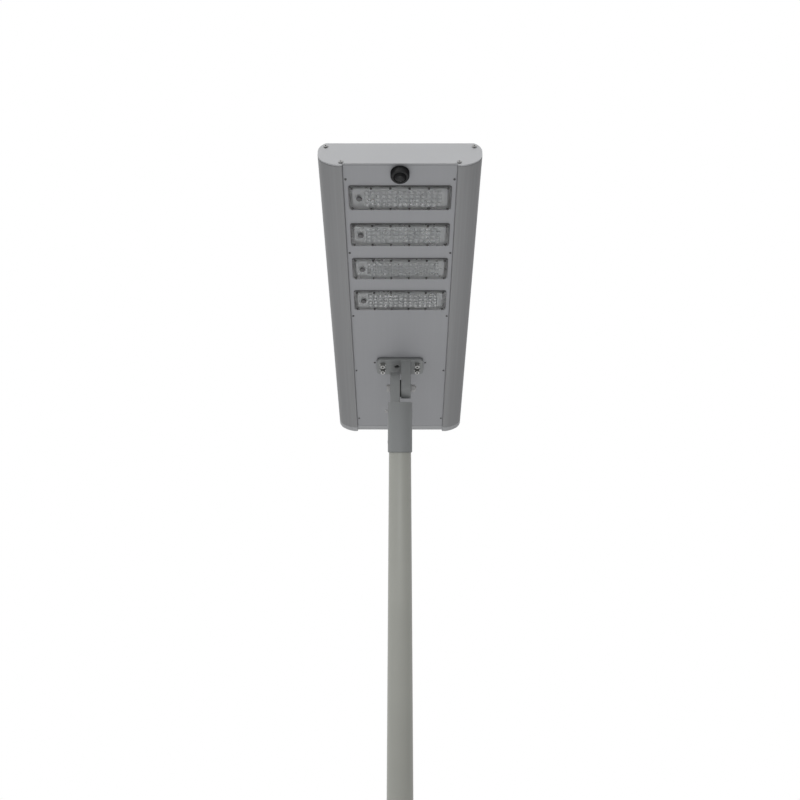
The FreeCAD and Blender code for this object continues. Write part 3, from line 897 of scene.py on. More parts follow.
@dataclass(frozen=True)
class Axes:
    """A sub-assembly's own axes, and the body that it rides on."""

    place: Matrix
    body: Body

    def box(self, node: str) -> tuple[Vector, Vector]:
        """Measures a CAD node in these axes.

        Args:
            node: The node's name.

        Returns:
            Its lowest and highest corners.
        """
        back = self.place.inverted()
        points = [back @ v.co for v in frame["nodes"][node].data.vertices]
        low = Vector([min(p[k] for p in points) for k in range(3)])
        high = Vector([max(p[k] for p in points) for k in range(3)])
        return low, high

    def add(
        self,
        name: str,
        shape: bmesh.types.BMesh | bpy.types.Mesh,
        finish: "Finish",
        replaces: Sequence[str] = (),
        smooth_angle: float = 40.0,
    ) -> bpy.types.Object:
        """Makes a finished piece that rides on this body.

        Args:
            name: The piece's name.
            shape: Its mesh or solid, in these axes.
            finish: Its finish.
            replaces: The CAD nodes that it stands for.
            smooth_angle: Edges sharper than this, in degrees, stay sharp.

        Returns:
            The piece.
        """
        mesh = frozen(shape, name) if isinstance(shape, bmesh.types.BMesh) else shape
        mesh.name = name
        mesh.transform(self.place)
        mesh.shade_smooth()
        mesh.set_sharp_from_angle(angle=math.radians(smooth_angle))
        mesh.materials.clear()
        mesh.materials.append(finish.material())
        item = linked(name, mesh)
        weighted = item.modifiers.new("normals", "WEIGHTED_NORMAL")
        weighted.keep_sharp, weighted.weight = True, 100
        item.data = evaluated_mesh(item)
        item.modifiers.clear()
        item.data.name = name
        bpy.data.meshes.remove(mesh)
        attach(item, self.body.value)
        if replaces:
            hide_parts(*replaces)
        log.info("%s: %d faces on %s", name, len(item.data.polygons), self.body.value)
        return item

    def dress(self, node: str, finish: "Finish") -> None:
        """Gives a CAD node that keeps its shape a finish.

        Args:
            node: The node's name.
            finish: Its finish.
        """
        item = frame["nodes"][node]
        item.data.materials.clear()
        item.data.materials.append(finish.material())
        log.info("%s: CAD node dressed", node)


# ------------------------------------------------------------------------------------------------
# Finishes
# ------------------------------------------------------------------------------------------------

DUST_COLOUR = (0.42, 0.39, 0.34, 1.0)
FINGER_SILVER = (0.45, 0.47, 0.5, 1.0)


@dataclass(frozen=True)
class Finish:
    """What every finish has: its name, its record slot and its base colour."""

    name: str
    slot: str
    colour: Colour

    def material(self) -> bpy.types.Material:
        """Builds the material, or gives the one built before.

        Returns:
            The material.
        """
        found = bpy.data.materials.get(self.name)
        if found:
            return found
        made = bpy.data.materials.new(self.name)
        made.use_nodes = True
        made.node_tree.nodes.clear()
        tree = Tree(made.node_tree)
        shader = tree.add("ShaderNodeBsdfPrincipled")
        tree.add("ShaderNodeOutputMaterial", {}, {"Surface": shader.outputs[0]})
        self.paint(tree, shader)
        made.diffuse_color = (*self.colour, 1.0)
        return made

    def paint(self, tree: Tree, shader: bpy.types.Node) -> None:
        """Sets the shader up: each finish has its own way."""
        raise NotImplementedError

    def rgba(self, factor: float = 1.0) -> tuple[float, float, float, float]:
        """Gives the base colour, lightened or darkened, with full alpha."""
        return (*(min(c * factor, 1.0) for c in self.colour), 1.0)


def object_place(tree: Tree, turn: float = 0.0) -> bpy.types.NodeSocket:
    """Gives Object coordinates, turned about X so that Y runs along the tilted head.

    Args:
        tree: The material's tree.
        turn: The angle, in radians.

    Returns:
        The coordinates.
    """
    place = tree.add("ShaderNodeTexCoord").outputs["Object"]
    if not turn:
        return place
    return tree.add("ShaderNodeMapping", {}, {"Vector": place, "Rotation": (turn, 0.0, 0.0)}).outputs[0]


def bump(tree: Tree, height: bpy.types.NodeSocket, distance: float) -> bpy.types.NodeSocket:
    """Adds a Bump node and gives its normal."""
    return tree.add("ShaderNodeBump", {}, {"Height": height, "Distance": distance}).outputs[0]


@dataclass(frozen=True)
class CoatFinish(Finish):
    """Powder coat or paint, with a fine orange-peel skin, faint changes of tone and some dust."""

    roughness: float = 0.5
    peel: float = 0.00006
    peel_scale: float = 700.0
    drift: float = 0.10
    dust: float = 0.25
    dust_gloss: float = 0.3
    specular: float = 0.5

    def grain(self, tree: Tree, place: bpy.types.NodeSocket) -> bpy.types.NodeOutputs:
        """Places the grain group with this coat's values."""
        scales = {"Fine": self.peel_scale, "Drift": self.drift, "Roughness": self.roughness}
        return tree.group(GRAIN, {"Vector": place, **scales})

    def base(self, tree: Tree, place: bpy.types.NodeSocket) -> object:
        """Gives the colour under the grain and the dust: here it is the same all over."""
        return self.rgba()

    def paint(self, tree: Tree, shader: bpy.types.Node) -> None:
        """Lays grain, tone and dust over the coat's colour.

        Args:
            tree: The material's tree.
            shader: Its shader.
        """
        place = object_place(tree)
        grain = self.grain(tree, place)
        up = tree.axes(tree.add("ShaderNodeNewGeometry").outputs["Normal"])["Z"]
        dust = tree.group(DUST, {"Vector": place, "Up": up, "Amount": self.dust})["Mask"]
        toned = tree.tinted(self.base(tree, place), grain["Tone"])
        tree.feed(
            shader,
            {
                "Base Color": tree.mix(dust, toned, DUST_COLOUR),
                "Roughness": tree.math("MULTIPLY_ADD", dust, self.dust_gloss, grain["Roughness"]),
                "Normal": bump(tree, grain["Height"], self.peel),
                "Specular IOR Level": self.specular,
            },
        )


@dataclass(frozen=True)
class ExtrusionFinish(CoatFinish):
    """A coated extrusion: the coat's tone and gloss, with faint draw lines along the head."""

    turn: float = 0.0
    lines: float = 0.25
    line_scale: float = 260.0

    def paint(self, tree: Tree, shader: bpy.types.Node) -> None:
        """Lays draw lines along the head's length over the coat's colour.

        Args:
            tree: The material's tree.
            shader: Its shader.
        """
        place = object_place(tree, self.turn)
        grain = self.grain(tree, place)
        lines = tree.group(DRAW_LINES, {"Vector": place, "Scale": self.line_scale, "Contrast": self.lines})
        tone = tree.math("MULTIPLY", lines["Tone"], grain["Tone"])
        tree.feed(
            shader,
            {
                "Base Color": tree.tinted(self.rgba(), tone),
                "Roughness": grain["Roughness"],
                "Normal": bump(tree, lines["Height"], self.peel),
                "Specular IOR Level": self.specular,
            },
        )


@dataclass(frozen=True)
class MetalFinish(Finish):
    """Bare or plated metal, slightly dulled in patches."""

    roughness: float = 0.32
    scratch: float = 0.00001
    scratch_scale: float = 1800.0
    patch_scale: float = 220.0
    drift: float = 0.3

    def paint(self, tree: Tree, shader: bpy.types.Node) -> None:
        """Sets a metal with patchy gloss and fine scratches.

        Args:
            tree: The material's tree.
            shader: Its shader.
        """
        scales = {"Fine": self.scratch_scale, "Slow": self.patch_scale, "Drift": self.drift}
        grain = tree.group(GRAIN, {"Vector": object_place(tree), "Roughness": self.roughness, **scales})
        tree.feed(
            shader,
            {
                "Metallic": 1.0,
                "Base Color": tree.tinted(self.rgba(), grain["Tone"]),
                "Roughness": grain["Roughness"],
                "Normal": bump(tree, grain["Height"], self.scratch),
            },
        )


@dataclass(frozen=True)
class MouldedFinish(CoatFinish):
    """Moulded plastic or rubber: a coat's grain without dust."""

    peel: float = 0.00004
    peel_scale: float = 1500.0
    drift: float = 0.2
    dust: float = 0.0


@dataclass(frozen=True)
class BoardFinish(MouldedFinish):
    """White solder mask over the field of LEDs, with duller, speckled copper under it at both ends."""

    field_x: float = 0.007
    field_half: float = 0.089
    fade: float = 0.002
    speck_scale: float = 260.0
    dull: float = 0.5
    pale: float = 0.85

    def base(self, tree: Tree, place: bpy.types.NodeSocket) -> object:
        """Darkens the mask past both ends of the field.

        Args:
            tree: The material's tree.
            place: The Object coordinates.

        Returns:
            The colour socket.
        """
        away = tree.math("ABSOLUTE", tree.math("SUBTRACT", tree.axes(place)["X"], self.field_x))
        bare = tree.ramp(away, self.field_half, self.field_half + self.fade)
        speck = tree.ramp(tree.noise(place, self.speck_scale, 1.0), 0.4, 0.6)
        return tree.mix(bare, self.rgba(), tree.mix(speck, self.rgba(self.dull), self.rgba(self.pale)))


@dataclass(frozen=True)
class ClearFinish(Finish):
    """Clear plastic or glass; the frosted kind also has a patchy gloss and a faintly wavy face."""

    roughness: float = 0.08
    ior: float = 1.49
    haze: float = 0.00001
    frosted: bool = True

    def paint(self, tree: Tree, shader: bpy.types.Node) -> None:
        """Sets a see-through shader with a faintly uneven tint.

        Args:
            tree: The material's tree.
            shader: Its shader.
        """
        scales = {"Fine": 600.0, "Slow": 40.0, "Drift": 0.1}
        grain = tree.group(GRAIN, {"Vector": object_place(tree), "Roughness": self.roughness, **scales})
        tree.feed(
            shader,
            {
                "Base Color": tree.mix(grain["Height"], self.rgba(0.97), self.rgba()),
                "Transmission Weight": 1.0,
                "IOR": self.ior,
                "Roughness": self.roughness,
            },
        )
        if self.frosted:
            wavy = bump(tree, grain["Height"], self.haze)
            tree.feed(shader, {"Roughness": grain["Roughness"], "Normal": wavy})


@dataclass(frozen=True)
class CellFinish(Finish):
    """A silicon solar cell: dark blue with hair-thin silver fingers across its busbars."""

    turn: float = 0.0
    finger_pitch: float = 0.0022
    finger_share: float = 0.09
    finger_shine: float = 0.15
    roughness: float = 0.5

    def paint(self, tree: Tree, shader: bpy.types.Node) -> None:
        """Draws the fingers as thin lines across the head.

        Args:
            tree: The material's tree.
            shader: Its shader.
        """
        place = object_place(tree, self.turn)
        phase = tree.math("FRACT", tree.math("DIVIDE", tree.axes(place)["Y"], self.finger_pitch))
        finger = tree.math("MULTIPLY", tree.math("LESS_THAN", phase, self.finger_share), self.finger_shine)
        blue = tree.mix(tree.noise(place, 25.0, 3.0), self.rgba(0.6), self.rgba(1.4))
        tree.feed(
            shader,
            {
                "Base Color": tree.mix(finger, blue, FINGER_SILVER),
                "Roughness": self.roughness,
                "Specular IOR Level": 0.0,
            },
        )


@dataclass(frozen=True)
class FloorFinish(Finish):
    """The studio floor's pale paint, which fades away towards the floor's edge."""

    pale: Colour = (0.84, 0.84, 0.83)
    reach: float = 6.0
    full_share: float = 0.1

    def paint(self, tree: Tree, shader: bpy.types.Node) -> None:
        """Sets a speckled paint that gets clearer away from the middle.

        Args:
            tree: The material's tree.
            shader: Its shader.
        """
        place = object_place(tree)
        away = tree.add("ShaderNodeVectorMath", {"operation": "LENGTH"}, {0: place}).outputs["Value"]
        shown = tree.ramp(away, self.reach, self.full_share * self.reach)
        tree.feed(
            shader,
            {
                "Base Color": tree.mix(tree.noise(place, 60.0, 4.0), self.rgba(), (*self.pale, 1.0)),
                "Alpha": tree.math("POWER", shown, 2.0),
                "Roughness": 0.7,
            },
        )


# ------------------------------------------------------------------------------------------------
# Where things are
# ------------------------------------------------------------------------------------------------

HINGE = next(joint for joint in frame["joints"] if joint["name"] == "head_tilt")
TILT = math.radians(-HINGE["range_deg"][0])
PIVOT = Vector(HINGE["pos_m"])


def head_axes() -> Axes:
    """Finds the head's axes from the tilt pivot, the front cap and the bottom plate.

    Returns:
        The head's axes.
    """
    about_pivot = Axes(Matrix.Translation(PIVOT) @ Matrix.Rotation(-TILT, 4, "X"), Body.HEAD)
    front = about_pivot.box("front_end_cap")[0].y
    plate = about_pivot.box("bottom_plate")[0].z
    return Axes(about_pivot.place @ Matrix.Translation((0.0, front, plate)), Body.HEAD)


HEAD = head_axes()
POLE = Axes(Matrix.Identity(4), Body.POLE)
SLEEVE = Axes(Matrix.Identity(4), Body.SLEEVE)
HINGE_ON_HEAD = HEAD.place.inverted() @ PIVOT
X_AXIS = Vector((1, 0, 0))

POLE_PAINT = CoatFinish("pole paint", "pole_coat", (0.435, 0.44, 0.403), roughness=0.34, dust=0.2)
HINGE_PAINT = CoatFinish("hinge paint", "hinge_coat", (0.280, 0.290, 0.291), roughness=0.5, dust=0.1)
# The disc between the lugs is near black: partly its own dark colour, partly painted shade for the shadow in
# the narrow gap between the lugs.
SPACER_DARK_AND_GAP_SHADE = CoatFinish("dark spacer and painted gap shade", "hinge_coat", (0.05, 0.05, 0.05), roughness=0.6, dust=0.1)
PROFILE_COAT = ExtrusionFinish("profile coat", "profile_anodised", (0.301, 0.304, 0.311), turn=TILT)
CAP_COAT = CoatFinish("end cap coat", "cap_coat", (0.455, 0.462, 0.475), roughness=0.45, dust=0.1)
PLATE_COAT = ExtrusionFinish("bottom plate coat", "plate_coat", (0.387, 0.393, 0.412), turn=TILT, lines=0.06)
SCREW_STEEL = MetalFinish("screw steel", "screw_steel", (0.42, 0.42, 0.41), roughness=0.38)
SCREW_DARK = MetalFinish("dark screw steel", "screw_steel", (0.12, 0.12, 0.12), roughness=0.4)
SCREW_GREY = MetalFinish("grey screw steel", "screw_steel", (0.30, 0.30, 0.30), roughness=0.38)
PIVOT_ZINC = CoatFinish("pivot bolt zinc", "pivot_steel", (0.44, 0.44, 0.44), roughness=0.35, drift=0.3)
SEAL_RUBBER = MouldedFinish("seal rubber", "seal_rubber", (0.035, 0.035, 0.036), roughness=0.75)
SEAT_SILICONE = MouldedFinish("seat silicone", "seal_rubber", (0.15, 0.15, 0.152), roughness=0.65)
ENTRY_GREY = MouldedFinish("wire entry plug", "sensor_black", (0.14, 0.14, 0.142), roughness=0.6)
LENS_CLEAR = ClearFinish("lens polycarbonate", "lens_clear", (0.92, 0.93, 0.94), roughness=0.30, ior=1.58)
BOARD_WHITE = BoardFinish("solder mask", "board_white", (0.82, 0.83, 0.83), roughness=0.5)
CHIP_PHOSPHOR = MouldedFinish("phosphor", "board_white", (0.80, 0.66, 0.22), roughness=0.6)
BARE_ALUMINIUM = MetalFinish("bare aluminium", "raw_aluminium", (0.66, 0.66, 0.67), roughness=0.45)
SENSOR_DARK = (0.008, 0.008, 0.009)
SENSOR_SHELL = MouldedFinish("sensor shell", "sensor_black", SENSOR_DARK, roughness=0.5, specular=0.3)
SENSOR_LENS = MouldedFinish("sensor lens", "sensor_window", SENSOR_DARK, roughness=0.3, specular=0.25)
PANEL_TINT = (0.93, 0.95, 0.95)
PANEL_GLASS = ClearFinish("panel glass", "panel_glass", PANEL_TINT, roughness=0.0, ior=1.25, frosted=False)
PANEL_CELL = CellFinish("silicon cell", "panel_cell", (0.016, 0.028, 0.085), turn=TILT)
PANEL_BACK = MouldedFinish("panel backsheet", "panel_back", (0.70, 0.71, 0.72), roughness=0.6)
BUSBAR_TIN = MetalFinish("busbar tin", "panel_cell", (0.50, 0.51, 0.52), roughness=0.5)
BOX_BLACK = MouldedFinish("moulded case", "box_black", (0.03, 0.03, 0.032), roughness=0.5)
CELL_WRAP = MouldedFinish("battery wrap", "battery_wrap", (0.05, 0.16, 0.42), roughness=0.35)
WIRE_COVER = MouldedFinish("wire cover", "wire_cover", (0.30, 0.03, 0.03), roughness=0.5)
FLOOR_PAINT = FloorFinish("floor paint", "floor", (0.78, 0.78, 0.77))


# ------------------------------------------------------------------------------------------------
# Fasteners
# ------------------------------------------------------------------------------------------------


@dataclass(frozen=True)
class Screw:
    """A screw with a round head and a hexagon socket; its head points to +Z from its seat at 0."""

    radius: float
    height: float
    socket: float
    shank: float
    reach: float
    flange: float = 0.0
    flange_height: float = 0.0
    edge: float = 0.0005
    segments: int = 24

    def profile(self) -> list[tuple]:
        """Gives the screw's half section, for turning.

        Returns:
            The steps of the section, from the shank's end to the socket's floor.
        """
        edge, flats = self.edge, self.socket / 2
        steps: list[tuple] = [(0.0, -self.reach), (self.shank - edge, -self.reach)]
        steps += [(self.shank, edge - self.reach), (self.shank, 0.0)]
        if self.flange:
            steps += [(self.flange, 0.0), (self.flange, self.flange_height - edge)]
            steps += [(self.flange - edge, self.flange_height), (self.radius, self.flange_height)]
        else:
            steps.append((self.radius, 0.0))
        steps += [(self.radius, self.height - edge), (self.radius - edge * 0.3, self.height - edge * 0.3)]
        steps += [(self.radius - edge, self.height), (flats + edge * 0.8, self.height)]
        steps += [(flats, self.height - edge * 0.4, 6), (flats, self.height * 0.25, 6)]
        return steps + [(0.0, self.height * 0.15)]

    def solid(self, outward: Sequence[float]) -> bmesh.types.BMesh:
        """Gives the screw, with its head pointing outward."""
        return turned_to(lathe(self.profile(), self.segments), Vector(outward), Vector())


@dataclass(frozen=True)
class HexPiece:
    """A chamfered hexagon head or nut that stands on +Z from 0."""

    flats: float
    height: float
    bore: float = 0.0
    both_ends: bool = False

    def profile(self) -> list[tuple]:
        """Gives the half section, for turning.

        Returns:
            The steps of the section.
        """
        half = self.flats / 2
        fall = self.height * 0.12
        foot = [(half * 0.97, 0.0), (half, fall, 6)] if self.both_ends else [(half, 0.0, 6)]
        steps: list[tuple] = [(self.bore, 0.0), *foot, (half, self.height - fall, 6)]
        return steps + [(half * 0.97, self.height), (self.bore, self.height), (self.bore, 0.0)]

    def solid(self) -> bmesh.types.BMesh:
        """Gives the head or nut."""
        profile = self.profile()
        return lathe(profile if self.bore else profile[:-1], 36)


def repeated(
    name: str,
    spec: GroupSpec,
    piece: bmesh.types.BMesh,
    start: bmesh.types.BMesh,
    values: dict,
    finish: Finish,
) -> bpy.types.Mesh:
    """Runs a geometry tree that repeats a piece.

    Args:
        name: What to call the result.
        spec: The tree.
        piece: The piece to repeat.
        start: The geometry that goes in.
        values: The tree's other inputs by name.
        finish: What the copies are made of.

    Returns:
        What the tree makes, as one mesh.
    """
    sample = plain_object(piece, f"{name}_sample")
    mesh = run_nodes(spec, start, {"Piece": sample, "Finish": finish.material(), **values}, name)
    drop(sample)
    return mesh


def scattered(name: str, piece: bmesh.types.BMesh, places: Sequence, finish: Finish) -> bpy.types.Mesh:
    """Gives one mesh with a copy of a piece at each place."""
    return repeated(name, SCATTER, piece, points_at(places), {}, finish)


def gridded(
    name: str,
    piece: bmesh.types.BMesh,
    counts: tuple[int, int],
    pitches: tuple[float, float],
    centre: Sequence[float],
    finish: Finish,
) -> bpy.types.Mesh:
    """Puts copies of a piece on an even grid.

    Args:
        name: What to call the result.
        piece: The piece to repeat.
        counts: How many columns and rows.
        pitches: The steps between columns and between rows.
        centre: The grid's centre.
        finish: What the copies are made of.

    Returns:
        All the copies as one mesh.
    """
    values = dict(zip(("Columns", "Rows", "Column Pitch", "Row Pitch"), (*counts, *pitches)))
    return repeated(name, GRID, piece, bmesh.new(), {**values, "Centre": tuple(centre)}, finish)


def ringed(
    name: str, piece: bmesh.types.BMesh, count: int, radius: float, start: bmesh.types.BMesh, finish: Finish
) -> bpy.types.Mesh:
    """Gives one mesh of a start shape with copies of a piece, which points to +X, round the Z axis."""
    return repeated(name, RING, piece, start, {"Count": count, "Radius": radius}, finish)


def middle(box: tuple[Vector, Vector]) -> Vector:
    """Gives a box's centre."""
    return (box[0] + box[1]) / 2


# ------------------------------------------------------------------------------------------------
# The pole and the hinge
# ------------------------------------------------------------------------------------------------


@dataclass
class Pole:
    """The tapered tube on its welded base plate."""

    wall: float = 0.003
    corner: float = 0.012
    anchor_spacing: float = 0.2
    anchor_radius: float = 0.01
    gusset_thick: float = 0.008
    gusset_edge: float = 0.0008
    gusset_snip: float = 0.015
    gusset_count: int = 4
    rim: float = 0.0015
    bead: float = 0.0042
    ripple: float = 0.0035

    def __post_init__(self) -> None:
        """Measures the tube, the plate and the gussets."""
        self.shaft = POLE.box("pole_shaft")
        self.plate = POLE.box("base_plate")
        self.gussets = POLE.box("base_gussets")
        self.foot_radius = self.shaft[1].x
        rim = [v.co for v in frame["nodes"]["pole_shaft"].data.vertices if v.co.z > self.shaft[1].z - MM]
        self.top_radius = max(math.hypot(p.x, p.y) for p in rim)

    def radius(self, z: float) -> float:
        """Gives the tube's outer radius at a height."""
        share = (z - self.shaft[0].z) / (self.shaft[1].z - self.shaft[0].z)
        return self.foot_radius + (self.top_radius - self.foot_radius) * share

    def build(self) -> None:
        """Makes the tube, the base plate, the gussets and their welds."""
        self.build_tube()
        self.build_base()
        self.build_gussets()
        self.build_welds()

    def build_tube(self) -> None:
        """Draws a unit tube out to the pole's taper."""
        levels = [k / 24 for k in range(25)]
        unit = [(1.0, h) for h in levels] + [(0.5, h) for h in reversed(levels)] + [(1.0, 0.0)]
        values = {
            "Foot Radius": self.foot_radius,
            "Top Radius": self.top_radius,
            "Foot Height": self.shaft[0].z,
            "Height": self.shaft[1].z - self.shaft[0].z,
            "Wall": self.wall,
            "Finish": POLE_PAINT.material(),
        }
        mesh = run_nodes(TAPER, lathe(unit, 72), values, "pole_tube")
        POLE.add("pole_tube", mesh, POLE_PAINT, ["pole_shaft"])

    def build_base(self) -> None:
        """Makes the plate with its anchor holes."""
        low, high = self.plate
        half = self.anchor_spacing / 2
        spots = [(x, y) for x in (half, -half) for y in (half, -half)]
        holes = [circle(self.anchor_radius, spot, 32) for spot in spots]
        outline = rounded_rectangle(high.x - low.x, high.y - low.y, self.corner)
        plate = prism(outline, low.z, high.z, self.rim, holes)
        POLE.add("base_plate_coated", plate, POLE_PAINT, ["base_plate"])

    def build_gussets(self) -> None:
        """Makes the stiffening plates round the pole's foot."""
        foot, top = self.gussets[0].z, self.gussets[1].z
        reach = self.gussets[1].x
        inner_low, inner_high = self.radius(foot) - MM, self.radius(top) - MM
        outline = [
            (inner_low, foot),
            (reach, foot),
            (reach, foot + self.gusset_snip),
            (inner_high + MM + self.gusset_snip, top),
            (inner_high, top),
        ]
        half = self.gusset_thick / 2
        outline = [(u - reach, v) for u, v in outline]
        piece = prism(outline, -half, half, self.gusset_edge, plane=Plane.XZ)
        mesh = ringed("gussets", piece, self.gusset_count, reach, bmesh.new(), POLE_PAINT)
        POLE.add("base_gusset_set", mesh, POLE_PAINT, ["base_gussets"])

    def build_welds(self) -> None:
        """Lays rippled beads round the pole's foot and along both sides of each gusset."""
        foot, top = self.gussets[0].z, self.gussets[1].z
        radius = self.foot_radius + 0.4 * MM
        path = closed_path([(x, y, foot) for x, y in circle(radius, steps=72)])
        side = self.gusset_thick / 2
        for turn in range(self.gusset_count):
            spin = Matrix.Rotation(math.tau / self.gusset_count * turn, 4, "Z")
            for y in (side, -side):
                corners = [
                    (self.gussets[1].x - 4 * MM, y, foot),
                    (self.foot_radius, y, foot),
                    (self.radius(top), y, top - 2 * MM),
                ]
                verts = [path.verts.new(spin @ Vector(c)) for c in corners]
                for a, b in zip(verts, verts[1:]):
                    path.edges.new((a, b))
        values = {"Radius": self.bead, "Ripple": self.ripple, "Finish": POLE_PAINT.material()}
        POLE.add("base_welds", run_nodes(WELD, path, values, "base_welds"), POLE_PAINT, smooth_angle=80)


@dataclass
class PoleSleeve:
    """The casting over the pole's top: a sleeve with one lug of the tilt hinge, and its screws."""

    radius: float = 0.033
    bore: float = 0.0305
    top_wall: float = 0.012
    chamfer: float = 0.0015
    lug_radius: float = 0.0275
    lug_thick: float = 0.0265
    lug_rise: float = 0.016
    bolt_hole: float = 0.00605
    grain: float = 0.00095
    screw_radius: float = 0.004
    screw_tip: float = 0.03
    screw_sides: tuple[float, float] = (180.0, 90.0)
    screw_depths: tuple[float, float] = (0.024, 0.107)
    screw_proud: tuple[float, float] = (0.007, 0.0006)

    def __post_init__(self) -> None:
        """Finds the sleeve's lower end and its shoulder."""
        self.bottom = SLEEVE.box("pole_sleeve")[0].z
        self.top = POLE.box("pole_shaft")[1].z + self.top_wall

    def build(self) -> None:
        """Makes the casting and the screws that clamp it."""
        self.build_casting()
        self.build_set_screws()

    def build_casting(self) -> None:
        """Joins the sleeve and the lug, trimmed to the sleeve's round, into one casting."""
        r, top, bottom = self.radius, self.top, self.bottom
        sleeve = lathe(
            [
                (0.0, top),
                (r, top),
                (r, bottom + self.chamfer),
                (r - self.chamfer, bottom),
                (self.bore, bottom),
                (self.bore, top - self.top_wall),
                (0.0, top - self.top_wall),
            ],
            96,
        )
        centre = PIVOT.z + self.lug_rise
        side = self.lug_radius
        outline = [(-side, top - 6 * MM), (side, top - 6 * MM)]
        outline += arc((0.0, centre), side, 0, 180, 32)
        lug = prism(outline, -self.lug_thick, 0.0, plane=Plane.YZ)
        rounded = plain_object(lug, "lug")
        barrel = plain_object(rod(r, bottom, centre + r, 96), "barrel")
        keep = rounded.modifiers.new("keep", "BOOLEAN")
        keep.operation, keep.solver, keep.object = "INTERSECT", "EXACT", barrel
        trimmed = take_in(bmesh.new(), evaluated_mesh(rounded))
        drop(rounded, barrel)
        bolt = turned_to(rod(self.bolt_hole, -0.06, 0.06, 32), X_AXIS, PIVOT)
        mesh = cast_as_one([sleeve, trimmed], [bolt], self.grain, rounds=2)
        SLEEVE.add("sleeve_casting", mesh, HINGE_PAINT, ["pole_sleeve"], smooth_angle=70)

    def build_set_screws(self) -> None:
        """Makes two long screws in the sleeve's upper row and two flush ones in its lower row."""
        screws = []
        for depth, proud in zip(self.screw_depths, self.screw_proud):
            for side in self.screw_sides:
                out = Matrix.Rotation(math.radians(side), 3, "Z") @ X_AXIS
                r, reach = self.screw_radius, self.radius - self.screw_tip
                screw = Screw(radius=r, height=proud, socket=r, shank=r, reach=reach)
                spot = out * self.radius + Vector((0, 0, self.top - depth))
                screws.append(moved_by(screw.solid(out), spot))
        SLEEVE.add("set_screws", merged(screws), PIVOT_ZINC, ["sleeve_set_screws"])


@dataclass
class PivotBolt:
    """The bolt through both lugs with its nut, washers and the disc between the lugs."""

    bolt_radius: float = 0.006
    flats: float = 0.018
    head: float = 0.0075
    tail: float = 0.0012
    washer_radius: float = 0.012
    washer_thick: float = 0.002
    washer_edge: float = 0.0003

    def build(self) -> None:
        """Makes every piece round the pivot."""
        self.build_bolt()
        self.build_nut()
        self.build_washers()
        # The spacer's near-black colour is partly painted shade of the shadowed gap between the two lugs.
        SLEEVE.dress("lug_spacer", SPACER_DARK_AND_GAP_SHADE)

    def build_bolt(self) -> None:
        """Makes the bolt, whose head is at its low-X end."""
        low, high = SLEEVE.box("pivot_bolt")
        shank = lathe(
            [
                (0.0, low.x + self.head - MM),
                (self.bolt_radius, low.x + self.head - MM),
                (self.bolt_radius, high.x - self.tail),
                (self.bolt_radius - self.tail * 0.7, high.x),
                (0.0, high.x),
            ],
            32,
        )
        bolt_head = HexPiece(self.flats, self.head).solid()
        turned_to(shank, X_AXIS, Vector((0, 0, PIVOT.z)))
        turned_to(bolt_head, -X_AXIS, Vector((low.x + self.head, 0, PIVOT.z)))
        SLEEVE.add("pivot_bolt_zinc", merged([shank, bolt_head]), PIVOT_ZINC, ["pivot_bolt"])

    def build_nut(self) -> None:
        """Makes the nut, chamfered on both faces."""
        low, high = SLEEVE.box("pivot_nut")
        nut = HexPiece(self.flats, high.x - low.x, self.bolt_radius, both_ends=True).solid()
        turned_to(nut, X_AXIS, Vector((low.x, 0, PIVOT.z)))
        SLEEVE.add("pivot_nut_zinc", nut, PIVOT_ZINC, ["pivot_nut"])

    def build_washers(self) -> None:
        """Makes the washers under the bolt's head and under the nut."""
        low, high = SLEEVE.box("pivot_washers")
        bore, rim, edge, thick = self.bolt_radius, self.washer_radius, self.washer_edge, self.washer_thick
        section = [
            (bore, 0.0),
            (rim - edge, 0.0),
            (rim, edge),
            (rim, thick - edge),
            (rim - edge, thick),
            (bore, thick),
            (bore, 0.0),
        ]
        pair = []
        for x in (low.x, high.x - thick):
            pair.append(turned_to(lathe(section, 40), X_AXIS, Vector((x, 0, PIVOT.z))))
        SLEEVE.add("pivot_washer_pair", merged(pair), PIVOT_ZINC, ["pivot_washers"])


